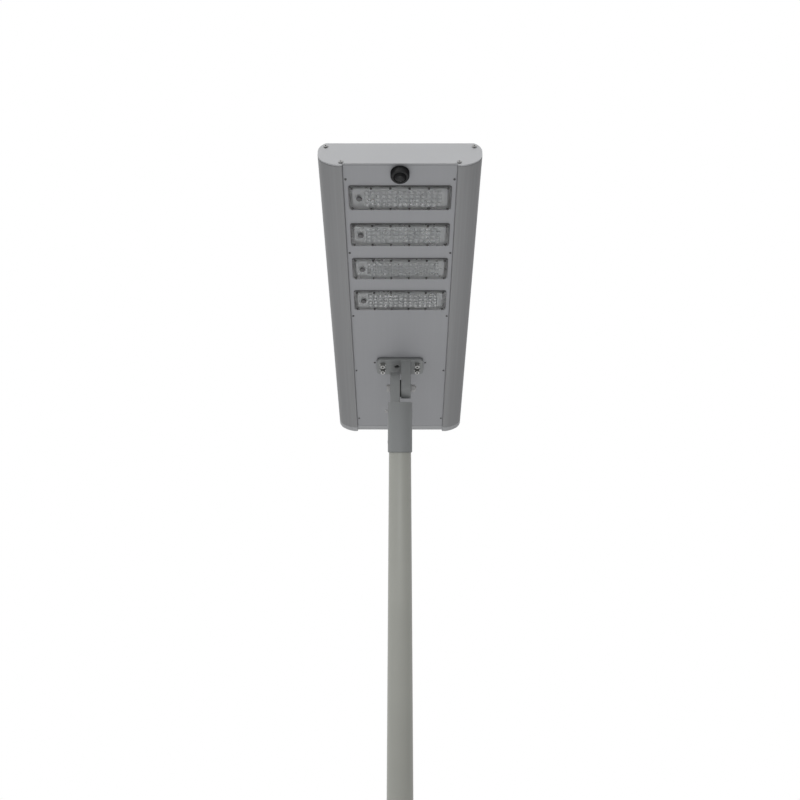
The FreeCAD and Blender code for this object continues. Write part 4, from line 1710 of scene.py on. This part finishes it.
@dataclass
class TiltBracket:
    """The plate bolted under the head, cast in one with the other lug of the tilt hinge."""

    corner: float = 0.011
    lug_radius: float = 0.0275
    lug: tuple[float, float] = (0.003, 0.029)
    bolt_radius: float = 0.00605
    bolt_spots: tuple[float, float] = (0.047, 0.013)
    cable_x: float = -0.008
    cable_radius: float = 0.0065
    cable_ahead: float = 0.0205
    root_ahead: float = 0.031
    overlap: float = 0.003
    pad_edge: float = 0.0004
    washer: tuple[float, float] = (0.004, 0.008)
    grain: float = 0.00095

    def __post_init__(self) -> None:
        """Measures the plate and its gasket."""
        low, high = HEAD.box("bracket_plate")
        gasket = HEAD.box("bracket_gasket")
        self.plate_top = high.z
        self.plate_low = HEAD.box("bracket_washers")[1].z
        self.size = (high.x - low.x, gasket[1].y - gasket[0].y + 2 * MM)
        self.centre = (0.0, middle(gasket).y)

    def build(self) -> None:
        """Makes the casting, its gasket and its bolts."""
        self.build_casting()
        self.build_gasket()
        self.build_bolts()
        HEAD.dress("backing_plate", BARE_ALUMINIUM)
        HEAD.dress("cable_grommet", SEAL_RUBBER)

    def cable_loop(self, grow: float = 0.0) -> Loop:
        """Gives the cable hole's outline."""
        return circle(self.cable_radius + grow, (self.cable_x, HINGE_ON_HEAD.y - self.cable_ahead), 24)

    def build_casting(self) -> None:
        """Joins the plate and the lug, and cuts the holes for the bolt and the cable."""
        outline = rounded_rectangle(*self.size, self.corner, self.centre)
        plate = prism(outline, self.plate_low, self.plate_top)
        y, z, r = HINGE_ON_HEAD.y, HINGE_ON_HEAD.z, self.lug_radius
        root = Vector((self.centre[1] - self.root_ahead, self.plate_low - self.overlap))
        way = root - Vector((y, z))
        touch = math.degrees(math.atan2(way.y, way.x) + math.acos(r / way.length))
        round_end = arc((y, z), r, touch, 360, 32)
        inside = self.plate_low + self.overlap
        outline = [*round_end, (y + r, inside), (root.x, inside), tuple(root)]
        lug = prism(outline, *self.lug, plane=Plane.YZ)
        pin = turned_to(rod(self.bolt_radius, 0, 0.1, 32), X_AXIS, Vector((-0.03, y, z)))
        hole = prism(self.cable_loop(), self.plate_low - 0.01, self.plate_top + 0.01)
        mesh = cast_as_one([plate, lug], [pin, hole], self.grain, rounds=2)
        HEAD.add("bracket_casting", mesh, HINGE_PAINT, ["bracket_plate"], smooth_angle=70)

    def build_gasket(self) -> None:
        """Makes the pad between the plate and the head."""
        width, length = self.size
        outline = rounded_rectangle(width - 2 * MM, length - 2 * MM, self.corner - MM, self.centre)
        pad = prism(outline, self.plate_top, 0.0, self.pad_edge, [self.cable_loop()])
        HEAD.add("bracket_pad", pad, SEAL_RUBBER, ["bracket_gasket"])

    def build_bolts(self) -> None:
        """Makes the four cap screws and their washers."""
        bx, by = self.bolt_spots
        cy = self.centre[1]
        spots = [(sx * bx, cy + sy * by) for sx in (1, -1) for sy in (1, -1)]
        low, high = HEAD.box("bracket_washers")
        (bore, rim), thick = self.washer, high.z - low.z
        washer = lathe([(bore, 0.0), (rim, 0.0), (rim, thick), (bore, thick), (bore, 0.0)], 32)
        places = [(x, y, low.z) for x, y in spots]
        mesh = scattered("bracket_washer_set", washer, places, SCREW_STEEL)
        HEAD.add("bracket_washer_set", mesh, SCREW_STEEL, ["bracket_washers"])
        reach = HEAD.box("bracket_bolts")[1].z - low.z
        screw = Screw(radius=6.5 * MM, height=8 * MM, socket=6 * MM, shank=4 * MM, reach=reach)
        mesh = scattered("bracket_bolt_set", screw.solid((0, 0, -1)), places, SCREW_STEEL)
        HEAD.add("bracket_bolt_set", mesh, SCREW_STEEL, ["bracket_bolts"])


# ------------------------------------------------------------------------------------------------
# The lamp head
# ------------------------------------------------------------------------------------------------


@dataclass
class HeadShell:
    """The head's closed shell: two side profiles, two end caps, the bottom plate and their screws."""

    top: float = 0.065
    lip: float = -0.0055
    wall: float = 0.1255
    upper_arc: tuple[Point, ...] = ((0.163, 0.065), (0.1746, 0.0554), (0.18, 0.035))
    lower_arc: tuple[Point, ...] = ((0.18, 0.027), (0.1748, 0.014), (0.163, 0.004))
    lip_arc: tuple[Point, ...] = ((0.163, 0.004), (0.1495, -0.0022), (0.1344, -0.0055))
    inner_upper: tuple[Point, ...] = ((0.1618, 0.0624), (0.1722, 0.0539), (0.1774, 0.0346))
    inner_lower: tuple[Point, ...] = ((0.1774, 0.0274), (0.1727, 0.0157), (0.1619, 0.0065))
    inner_lip: tuple[Point, ...] = ((0.1619, 0.0065), (0.1489, 0.0005), (0.1385, -0.0019))
    front_cap: float = 0.004
    cap_edge: float = 0.0005
    plate_corner: float = 0.0006
    plate_edge: float = 0.0003
    sensor_hole: float = 0.009
    window_corner: float = 0.003
    seam_x: float = 0.12
    seam_first: float = 0.046
    seam_pitch: float = 0.2344
    seam_count: int = 5
    backing_screw: Point = (0.069, 0.713)
    cap_screws: tuple[Point, ...] = ((0.1632, 0.0543), (0.1286, 0.0046))
    rear_round: float = 0.004

    def outer_skin(self) -> Loop:
        """Gives the right half of the outline, from the top's edge down to the bottom plate's lip.

        Returns:
            The outline's points.
        """
        points = [self.upper_arc[0], *arc_through(*self.upper_arc, 12)]
        points += [self.lower_arc[0], *arc_through(*self.lower_arc, 10)]
        points += arc_through(*self.lip_arc, 8)
        return points + [(self.wall + 1.5 * MM, self.lip), (self.wall, self.lip + 1.5 * MM)]

    def section(self) -> Loop:
        """Gives the whole cross-section, closed along the bottom plate."""
        right = self.outer_skin() + [(self.wall, 0.0)]
        return right + [(-x, z) for x, z in reversed(right)]

    def build(self) -> None:
        """Makes every piece of the shell."""
        self.build_caps()
        self.build_profiles()
        self.build_bottom_plate()
        self.build_screws()
        for node in ("front_cap_gasket", "rear_cap_gasket"):
            HEAD.dress(node, SEAL_RUBBER)

    def build_caps(self) -> None:
        """Makes the flat front cap and the deep rear cap."""
        cap = prism(self.section(), 0.0, self.front_cap, self.cap_edge, plane=Plane.XZ)
        HEAD.add("front_cap_coated", cap, CAP_COAT, ["front_end_cap"])
        low, high = HEAD.box("rear_end_cap")
        rear = prism(self.section(), low.y, high.y, plane=Plane.XZ)
        edges = [
            e for e in rear.edges
            if all(abs(v.co.y - high.y) < 1e-5 and abs(v.co.z) < 1e-5 for v in e.verts)
        ]
        bmesh.ops.bevel(rear, geom=edges, offset=self.rear_round, segments=6, profile=0.5, affect="EDGES")
        HEAD.add("rear_cap_coated", rear, CAP_COAT, ["rear_end_cap"])

    def build_profiles(self) -> None:
        """Makes the extruded side profiles with their chambers and ledges."""
        low, high = HEAD.box("right_side_profile")
        outline = self.outer_skin() + [
            (self.wall, 0.003),
            (0.113, 0.003),
            (0.113, 0.0055),
            (self.wall, 0.0055),
            (self.wall, 0.0095),
            (0.136, 0.0095),
            (0.136, 0.057),
            (0.133, 0.057),
            (0.133, 0.0595),
            (0.151, 0.0595),
            (0.151, self.top),
        ]
        chamber = [(0.1385, 0.057), (0.1536, 0.057), (0.1536, 0.0624)]
        chamber += [self.inner_upper[0], *arc_through(*self.inner_upper, 12)]
        chamber += [self.inner_lower[0], *arc_through(*self.inner_lower, 10)]
        chamber += arc_through(*self.inner_lip, 8)
        for side, name in ((1, "right"), (-1, "left")):
            mirrored = [[(side * x, z) for x, z in loop] for loop in (outline, chamber)]
            profile = prism(mirrored[0], low.y, high.y, holes=[mirrored[1]], plane=Plane.XZ)
            HEAD.add(f"{name}_profile_coated", profile, PROFILE_COAT, [f"{name}_side_profile"], 25.0)

    def build_bottom_plate(self) -> None:
        """Makes the flat plate with its windows and holes."""
        low, high = HEAD.box("bottom_plate")
        sensor = middle(HEAD.box("sensor_lens"))
        holes = [circle(self.sensor_hole, (sensor.x, sensor.y), 32)]
        for number in range(1, LedModules.count + 1):
            gasket = middle(HEAD.box(f"lens_gasket_{number}"))
            holes.append(rounded_rectangle(*LedModules.window, self.window_corner, (0.0, gasket.y)))
        holes.append(TiltBracket().cable_loop(1.5 * MM))
        centre = (0.0, (low.y + high.y) / 2)
        outline = rounded_rectangle(high.x - low.x, high.y - low.y, self.plate_corner, centre)
        plate = prism(outline, low.z, high.z, self.plate_edge, holes, steps=2)
        HEAD.add("bottom_plate_coated", plate, PLATE_COAT, ["bottom_plate"])

    def build_screws(self) -> None:
        """Makes the screws along the plate's long edges and through both caps."""
        rows = [self.seam_first + k * self.seam_pitch for k in range(self.seam_count)]
        places = [(side * self.seam_x, y, 0.0) for y in rows for side in (1, -1)]
        x, y = self.backing_screw
        places += [(x, y, 0.0), (-x, y, 0.0)]
        screw = Screw(
            radius=2.7 * MM, height=1.2 * MM, socket=2 * MM, shank=1.5 * MM, reach=5.8 * MM, edge=0.4 * MM
        )
        mesh = scattered("seam_screws", screw.solid((0, 0, -1)), places, SCREW_DARK)
        HEAD.add("seam_screws", mesh, SCREW_DARK, ["plate_screws"])
        ends = ((HEAD.box("front_end_cap")[0].y, -1, "front"), (HEAD.box("rear_end_cap")[1].y, 1, "rear"))
        for y, out, name in ends:
            places = [(side * x, y, z) for x, z in self.cap_screws for side in (1, -1)]
            screw = Screw(
                radius=3.9 * MM,
                height=2.6 * MM,
                socket=3 * MM,
                shank=2.1 * MM,
                reach=14 * MM,
                flange=5.5 * MM,
                flange_height=1.4 * MM,
                edge=0.4 * MM,
            )
            mesh = scattered(f"{name}_screws", screw.solid((0, out, 0)), places, SCREW_GREY)
            HEAD.add(f"{name}_screws", mesh, SCREW_GREY, [f"{name}_cap_screws"])


@dataclass
class LedModules:
    """The four LED modules under the head."""

    count: int = 4
    window: tuple[float, float] = (0.212, 0.055)
    lens_inset: float = 0.0015
    lens_edge: float = 0.0006
    corner: float = 0.0045
    columns: int = 14
    rows: int = 4
    pitches: tuple[float, float] = (0.0125, 0.012)
    field_x: float = 0.007
    dome_radius: float = 0.0057
    dome_rise: float = 0.0033
    dome_angles: tuple[float, ...] = (30.0, 60.0, 90.0)
    chip: float = 0.0032
    chip_rise: float = 0.0007
    phosphor_radius: float = 0.001216
    phosphor: tuple[float, float] = (-0.0009, -0.0006)
    boss: Point = (-0.0915, 0.0065)
    boss_rise: float = 0.0032
    boss_edge: float = 0.001
    screw_x: tuple[float, ...] = (0.0215, 0.0645, 0.1075)
    screw_y: float = 0.0312
    screw_head: float = 0.0018
    screw_hole: float = 0.0016

    def build(self) -> None:
        """Makes each module."""
        for number in range(1, self.count + 1):
            gasket = HEAD.box(f"lens_gasket_{number}")
            y = middle(gasket).y
            self.build_lens(number, y, gasket)
            self.build_lights(number, y)
            self.build_screws(number, y)
            HEAD.dress(f"lens_gasket_{number}", SEAT_SILICONE)
            HEAD.dress(f"led_board_{number}", BOARD_WHITE)
            HEAD.dress(f"heat_spreader_{number}", BARE_ALUMINIUM)

    def dome(self) -> bmesh.types.BMesh:
        """Gives one lens dome, hanging down from 0.

        Returns:
            The solid.
        """
        r, h = self.dome_radius, self.dome_rise
        angles = [math.radians(angle) for angle in self.dome_angles]
        steps = [(r * math.sin(a), -h * math.cos(a)) for a in angles]
        return lathe([(0.0, -h), *steps, (0.0, 0.0)], 12)

    def build_lens(self, number: int, y: float, gasket: tuple[Vector, Vector]) -> None:
        """Makes the clear plate with its field of domes.

        Args:
            number: The module's number.
            y: Its centre.
            gasket: The box of the gasket that it sits on.
        """
        low, high = gasket
        base = HEAD.box(f"lens_screws_{number}")[0].z + self.screw_head
        size = (high.x - low.x - 2 * self.lens_inset, high.y - low.y - 2 * self.lens_inset)
        holes = [circle(self.screw_hole, spot, 12) for spot in self.screw_spots(y)]
        outline = rounded_rectangle(*size, self.corner, (0.0, y))
        plate = prism(outline, base, low.z, self.lens_edge, holes)
        grid = ((self.columns, self.rows), self.pitches, (self.field_x, y, base))
        take_in(plate, gridded(f"domes_{number}", self.dome(), *grid, LENS_CLEAR))
        HEAD.add(f"lens_{number}", plate, LENS_CLEAR, [f"led_lens_{number}"], 30.0)
        (x, r), rise, edge = self.boss, self.boss_rise, self.boss_edge
        plug = lathe([(0, 0), (r, 0), (r, edge - rise), (r - edge, -rise), (0, -rise)], 28)
        HEAD.add(f"wire_entry_{number}", moved_by(plug, (x, y, base)), ENTRY_GREY)

    def screw_spots(self, y: float) -> list[Point]:
        """Gives the places of the screws round a module."""
        return [(s * x, y + e * self.screw_y) for x in self.screw_x for s in (1, -1) for e in (1, -1)]

    def build_lights(self, number: int, y: float) -> None:
        """Puts an LED chip over each dome on the board.

        Args:
            number: The module's number.
            y: Its centre.
        """
        low = HEAD.box(f"led_board_{number}")[0].z
        grid = ((self.columns, self.rows), self.pitches, (self.field_x, y, low))
        outline = rounded_rectangle(self.chip, self.chip, 0.3 * MM, steps=1)
        chip = prism(outline, -self.chip_rise, 0.0, 0.1 * MM, steps=1)
        mesh = gridded(f"led_{number}", chip, *grid, BOARD_WHITE)
        HEAD.add(f"led_bodies_{number}", mesh, BOARD_WHITE)
        dot = prism(circle(self.phosphor_radius, steps=12), *self.phosphor)
        mesh = gridded(f"phosphor_{number}", dot, *grid, CHIP_PHOSPHOR)
        HEAD.add(f"led_phosphor_{number}", mesh, CHIP_PHOSPHOR)

    def build_screws(self, number: int, y: float) -> None:
        """Makes the screws that hold a module.

        Args:
            number: The module's number.
            y: Its centre.
        """
        low, high = HEAD.box(f"lens_screws_{number}")
        seat = low.z + self.screw_head
        screw = Screw(
            radius=2.8 * MM,
            height=self.screw_head,
            socket=2 * MM,
            shank=1.5 * MM,
            reach=high.z - seat,
            edge=0.4 * MM,
            segments=18,
        )
        places = [(*spot, seat) for spot in self.screw_spots(y)]
        mesh = scattered(f"module_screws_{number}", screw.solid((0, 0, -1)), places, SCREW_DARK)
        HEAD.add(f"module_screws_{number}", mesh, SCREW_DARK, [f"lens_screws_{number}"])


@dataclass
class MotionSensor:
    """The round motion sensor near the front end."""

    radius: float = 0.021
    lens_radius: float = 0.014
    rim: float = 0.015
    recess: float = 0.003
    neck: float = 0.009
    neck_top: float = 0.014
    lip: float = 0.0015
    fall: float = 0.0022
    ribs: int = 40
    rib_sink: float = 0.0011
    rib: tuple[float, float, float] = (0.0019, 0.0015, 0.00045)
    rib_ends: tuple[float, float] = (0.0026, 0.0018)
    facet_angles: tuple[float, ...] = (18.0, 38.0, 58.0, 76.0)
    facets: int = 10

    def build(self) -> None:
        """Makes the ribbed housing and the faceted lens."""
        self.build_housing()
        self.build_lens()
        HEAD.dress("sensor_nut", SENSOR_SHELL)

    def build_housing(self) -> None:
        """Turns the housing and sets ribs round it."""
        shift = middle(HEAD.box("sensor_lens"))
        core = self.radius - self.rib_sink
        shell = lathe(
            [
                (0.0, self.neck_top),
                (self.neck, self.neck_top),
                (self.neck, 0.0),
                (self.radius, 0.0),
                (self.radius, -self.lip),
                (core, -self.fall),
                (core, self.fall - self.rim),
                (core - 1.2 * MM, -self.rim),
                (self.lens_radius + 0.4 * MM, -self.rim),
                (self.lens_radius, self.recess - self.rim),
                (0.0, self.recess - self.rim),
            ],
            96,
        )
        low, high = self.rib_ends[0] - self.rim, -self.rib_ends[1]
        rib = prism(rounded_rectangle(*self.rib, steps=2), low, high, 0.3 * MM, steps=1)
        mesh = ringed("sensor_ribs", rib, self.ribs, core, shell, SENSOR_SHELL)
        mesh.transform(Matrix.Translation((shift.x, shift.y, 0.0)))
        HEAD.add("sensor_shell", mesh, SENSOR_SHELL, ["sensor_housing"])

    def build_lens(self) -> None:
        """Makes the low, faceted dome in the housing's mouth."""
        box = HEAD.box("sensor_lens")
        low, foot, radius = box[0].z, self.recess - self.rim, self.lens_radius - 0.3 * MM
        angles = [math.radians(angle) for angle in self.facet_angles]
        steps = [(radius * math.sin(a), foot - (foot - low) * math.cos(a) ** 0.8) for a in angles]
        lens = lathe([(0.0, low), *steps, (radius, foot), (0.0, foot)], self.facets)
        moved_by(lens, (middle(box).x, middle(box).y, 0.0))
        HEAD.add("sensor_fresnel_lens", lens, SENSOR_LENS, ["sensor_lens"], 4.0)


@dataclass
class SolarPanel:
    """The laminated solar panel in the head's top."""

    cell: tuple[float, float] = (0.091, 0.080)
    gap: float = 0.003
    columns: int = 3
    rows: int = 12
    chamfer: float = 0.006
    glass_corner: float = 0.003
    glass_edge: float = 0.0005
    busbars: int = 4
    busbar_width: float = 0.0014
    busbar_thick: float = 0.00008
    busbar_room: float = 0.00012

    def __post_init__(self) -> None:
        """Finds the cells' steps, their middle and their upper face."""
        self.pitches = (self.cell[0] + self.gap, self.cell[1] + self.gap)
        self.middle_y = middle(HEAD.box("panel_glass")).y
        self.cells_top = HEAD.box("panel_cells")[1].z - self.busbar_room

    def build(self) -> None:
        """Makes the glass, the cells and their ribbons."""
        self.build_glass()
        self.build_cells()
        self.build_ribbons()
        HEAD.dress("panel_backsheet", PANEL_BACK)
        HEAD.dress("panel_seal", SEAL_RUBBER)
        HEAD.dress("panel_junction_box", BOX_BLACK)

    def build_glass(self) -> None:
        """Makes the cover glass."""
        low, high = HEAD.box("panel_glass")
        size = (high.x - low.x, high.y - low.y)
        outline = rounded_rectangle(*size, self.glass_corner, (0.0, self.middle_y))
        glass = prism(outline, low.z, high.z, self.glass_edge)
        HEAD.add("panel_cover_glass", glass, PANEL_GLASS, ["panel_glass"])

    def build_cells(self) -> None:
        """Makes the grid of wafers with snipped corners."""
        w, l, c = self.cell[0] / 2, self.cell[1] / 2, self.chamfer
        corners = [(w, c - l), (w, l - c), (w - c, l), (c - w, l)]
        corners += [(-w, l - c), (-w, c - l), (c - w, -l), (w - c, -l)]
        wafer = prism(corners, HEAD.box("panel_cells")[0].z - self.cells_top, 0.0)
        centre = (0.0, self.middle_y, self.cells_top)
        mesh = gridded("wafers", wafer, (self.columns, self.rows), self.pitches, centre, PANEL_CELL)
        HEAD.add("cell_wafers", mesh, PANEL_CELL, ["panel_cells"])

    def build_ribbons(self) -> None:
        """Lays the busbar ribbons down each column of cells."""
        length = self.rows * self.pitches[1] - self.gap
        outline = rounded_rectangle(self.busbar_width, length, 0.3 * MM)
        step = self.cell[0] / self.busbars
        bars = []
        for column in range(self.columns):
            x = (column - (self.columns - 1) / 2) * self.pitches[0]
            ribbon = prism(outline, 0.0, self.busbar_thick)
            centre = (x, self.middle_y, self.cells_top)
            mesh = gridded("ribbons", ribbon, (self.busbars, 1), (step, 1.0), centre, BUSBAR_TIN)
            bars.append(take_in(bmesh.new(), mesh))
        HEAD.add("cell_ribbons", merged(bars), BUSBAR_TIN)


@dataclass
class PowerStore:
    """The battery, the charge controller and the wiring, closed inside the head."""

    def build(self) -> None:
        """Dresses the pieces, whose CAD shapes stay."""
        HEAD.dress("battery_tray", BARE_ALUMINIUM)
        HEAD.dress("battery_lid", BARE_ALUMINIUM)
        HEAD.dress("battery_cells", CELL_WRAP)
        HEAD.dress("battery_posts", BARE_ALUMINIUM)
        HEAD.dress("charge_controller", BARE_ALUMINIUM)
        HEAD.dress("wiring_harness", WIRE_COVER)


# ------------------------------------------------------------------------------------------------
# The studio
# ------------------------------------------------------------------------------------------------


@dataclass(frozen=True)
class SoftLight:
    """A round soft light that faces the tilt hinge: its size across, its watts and where it hangs."""

    name: str
    size: float
    power: float
    from_hinge: tuple[float, float, float]

    def hang(self) -> None:
        """Puts the light in the scene, out of the camera's sight."""
        light = bpy.data.lights.new(self.name, "AREA")
        light.shape, light.size, light.energy = "DISK", self.size, self.power
        item = linked(self.name, light)
        place = Vector(self.from_hinge)
        item.location = PIVOT + place
        item.visible_camera = False
        item.rotation_euler = (-place).to_track_quat("-Z", "Y").to_euler()


@dataclass
class Studio:
    """A pale floor, soft light all round and the camera."""

    horizon: float = 0.22
    overhead: float = 1.27
    underfoot: float = 1.12
    underfoot_focus: float = 8.0
    behind: float = 0.50
    lean: float = -0.10
    lights: tuple[SoftLight, ...] = (
        SoftLight("key", 3.0, 63.0, (-3.0, -2.2, 5.0)),
        SoftLight("fill", 0.6, 1.2, (0.0, -0.9, -0.35)),
        SoftLight("rear", 0.8, 0.8, (-0.1, 1.1, -1.6)),
    )
    floor_radius: float = FLOOR_PAINT.reach
    floor_thick: float = 0.02
    lens: float = 46.64
    sensor_width: float = 36.0
    camera_back: float = 2.8058
    camera_drop: float = 0.1997
    pitch: float = 3.43

    def build(self) -> None:
        """Sets the stage."""
        self.build_world()
        self.build_floor()
        for light in self.lights:
            light.hang()
        self.build_camera()

    def build_world(self) -> None:
        """Lights the lamp from all round, most from above, below and behind, on plain white."""
        world = bpy.data.worlds.new("studio")
        bpy.context.scene.world = world
        world.use_nodes = True
        world.node_tree.nodes.clear()
        tree = Tree(world.node_tree)
        axes = tree.axes(tree.add("ShaderNodeTexCoord").outputs["Generated"])
        above = tree.math("MAXIMUM", axes["Z"], 0.0)
        down = tree.math("MAXIMUM", tree.math("MULTIPLY", axes["Z"], -1.0), 0.0)
        below = tree.math("POWER", down, self.underfoot_focus)
        back = tree.math("MAXIMUM", axes["Y"], 0.0)
        level: object = self.horizon
        for share, amount in (
            (above, self.overhead),
            (below, self.underfoot),
            (back, self.behind),
            (axes["X"], self.lean),
        ):
            level = tree.math("MULTIPLY_ADD", share, amount, level)
        seen = tree.add("ShaderNodeLightPath").outputs["Is Camera Ray"]
        strength = tree.add("ShaderNodeMix", {"data_type": "FLOAT"}, {0: seen, 2: level, 3: 1.0}).outputs[0]
        light = tree.add("ShaderNodeBackground", {}, {"Color": (1, 1, 1, 1), "Strength": strength})
        tree.add("ShaderNodeOutputWorld", {}, {"Surface": light.outputs[0]})
        bpy.context.scene.view_settings.view_transform = "Standard"

    def build_floor(self) -> None:
        """Lays a pale disc that fades into the white round it."""
        rim, foot = self.floor_radius, -self.floor_thick
        floor = plain_object(lathe([(0, foot), (rim, foot), (rim, 0), (0, 0)], 96), "floor")
        floor.data.materials.append(FLOOR_PAINT.material())
        floor.visible_diffuse = floor.visible_glossy = floor.visible_shadow = False

    def build_camera(self) -> None:
        """Stands the camera in front of the head and a little below it."""
        camera = bpy.data.cameras.new("camera")
        camera.lens, camera.sensor_width = self.lens, self.sensor_width
        item = linked("camera", camera)
        item.location = (0.0, -self.camera_back, PIVOT.z - self.camera_drop)
        item.rotation_euler = (math.radians(90 + self.pitch), 0.0, 0.0)
        bpy.context.scene.camera = item


def main() -> None:
    """Builds the lamp and its studio."""
    logging.basicConfig(level=logging.INFO, format="%(message)s")
    Studio().build()
    for assembly in (
        Pole(),
        PoleSleeve(),
        PivotBolt(),
        HeadShell(),
        LedModules(),
        MotionSensor(),
        TiltBracket(),
        SolarPanel(),
        PowerStore(),
    ):
        assembly.build()
        log.info("%s done", type(assembly).__name__)


if __name__ == "__main__":
    main()
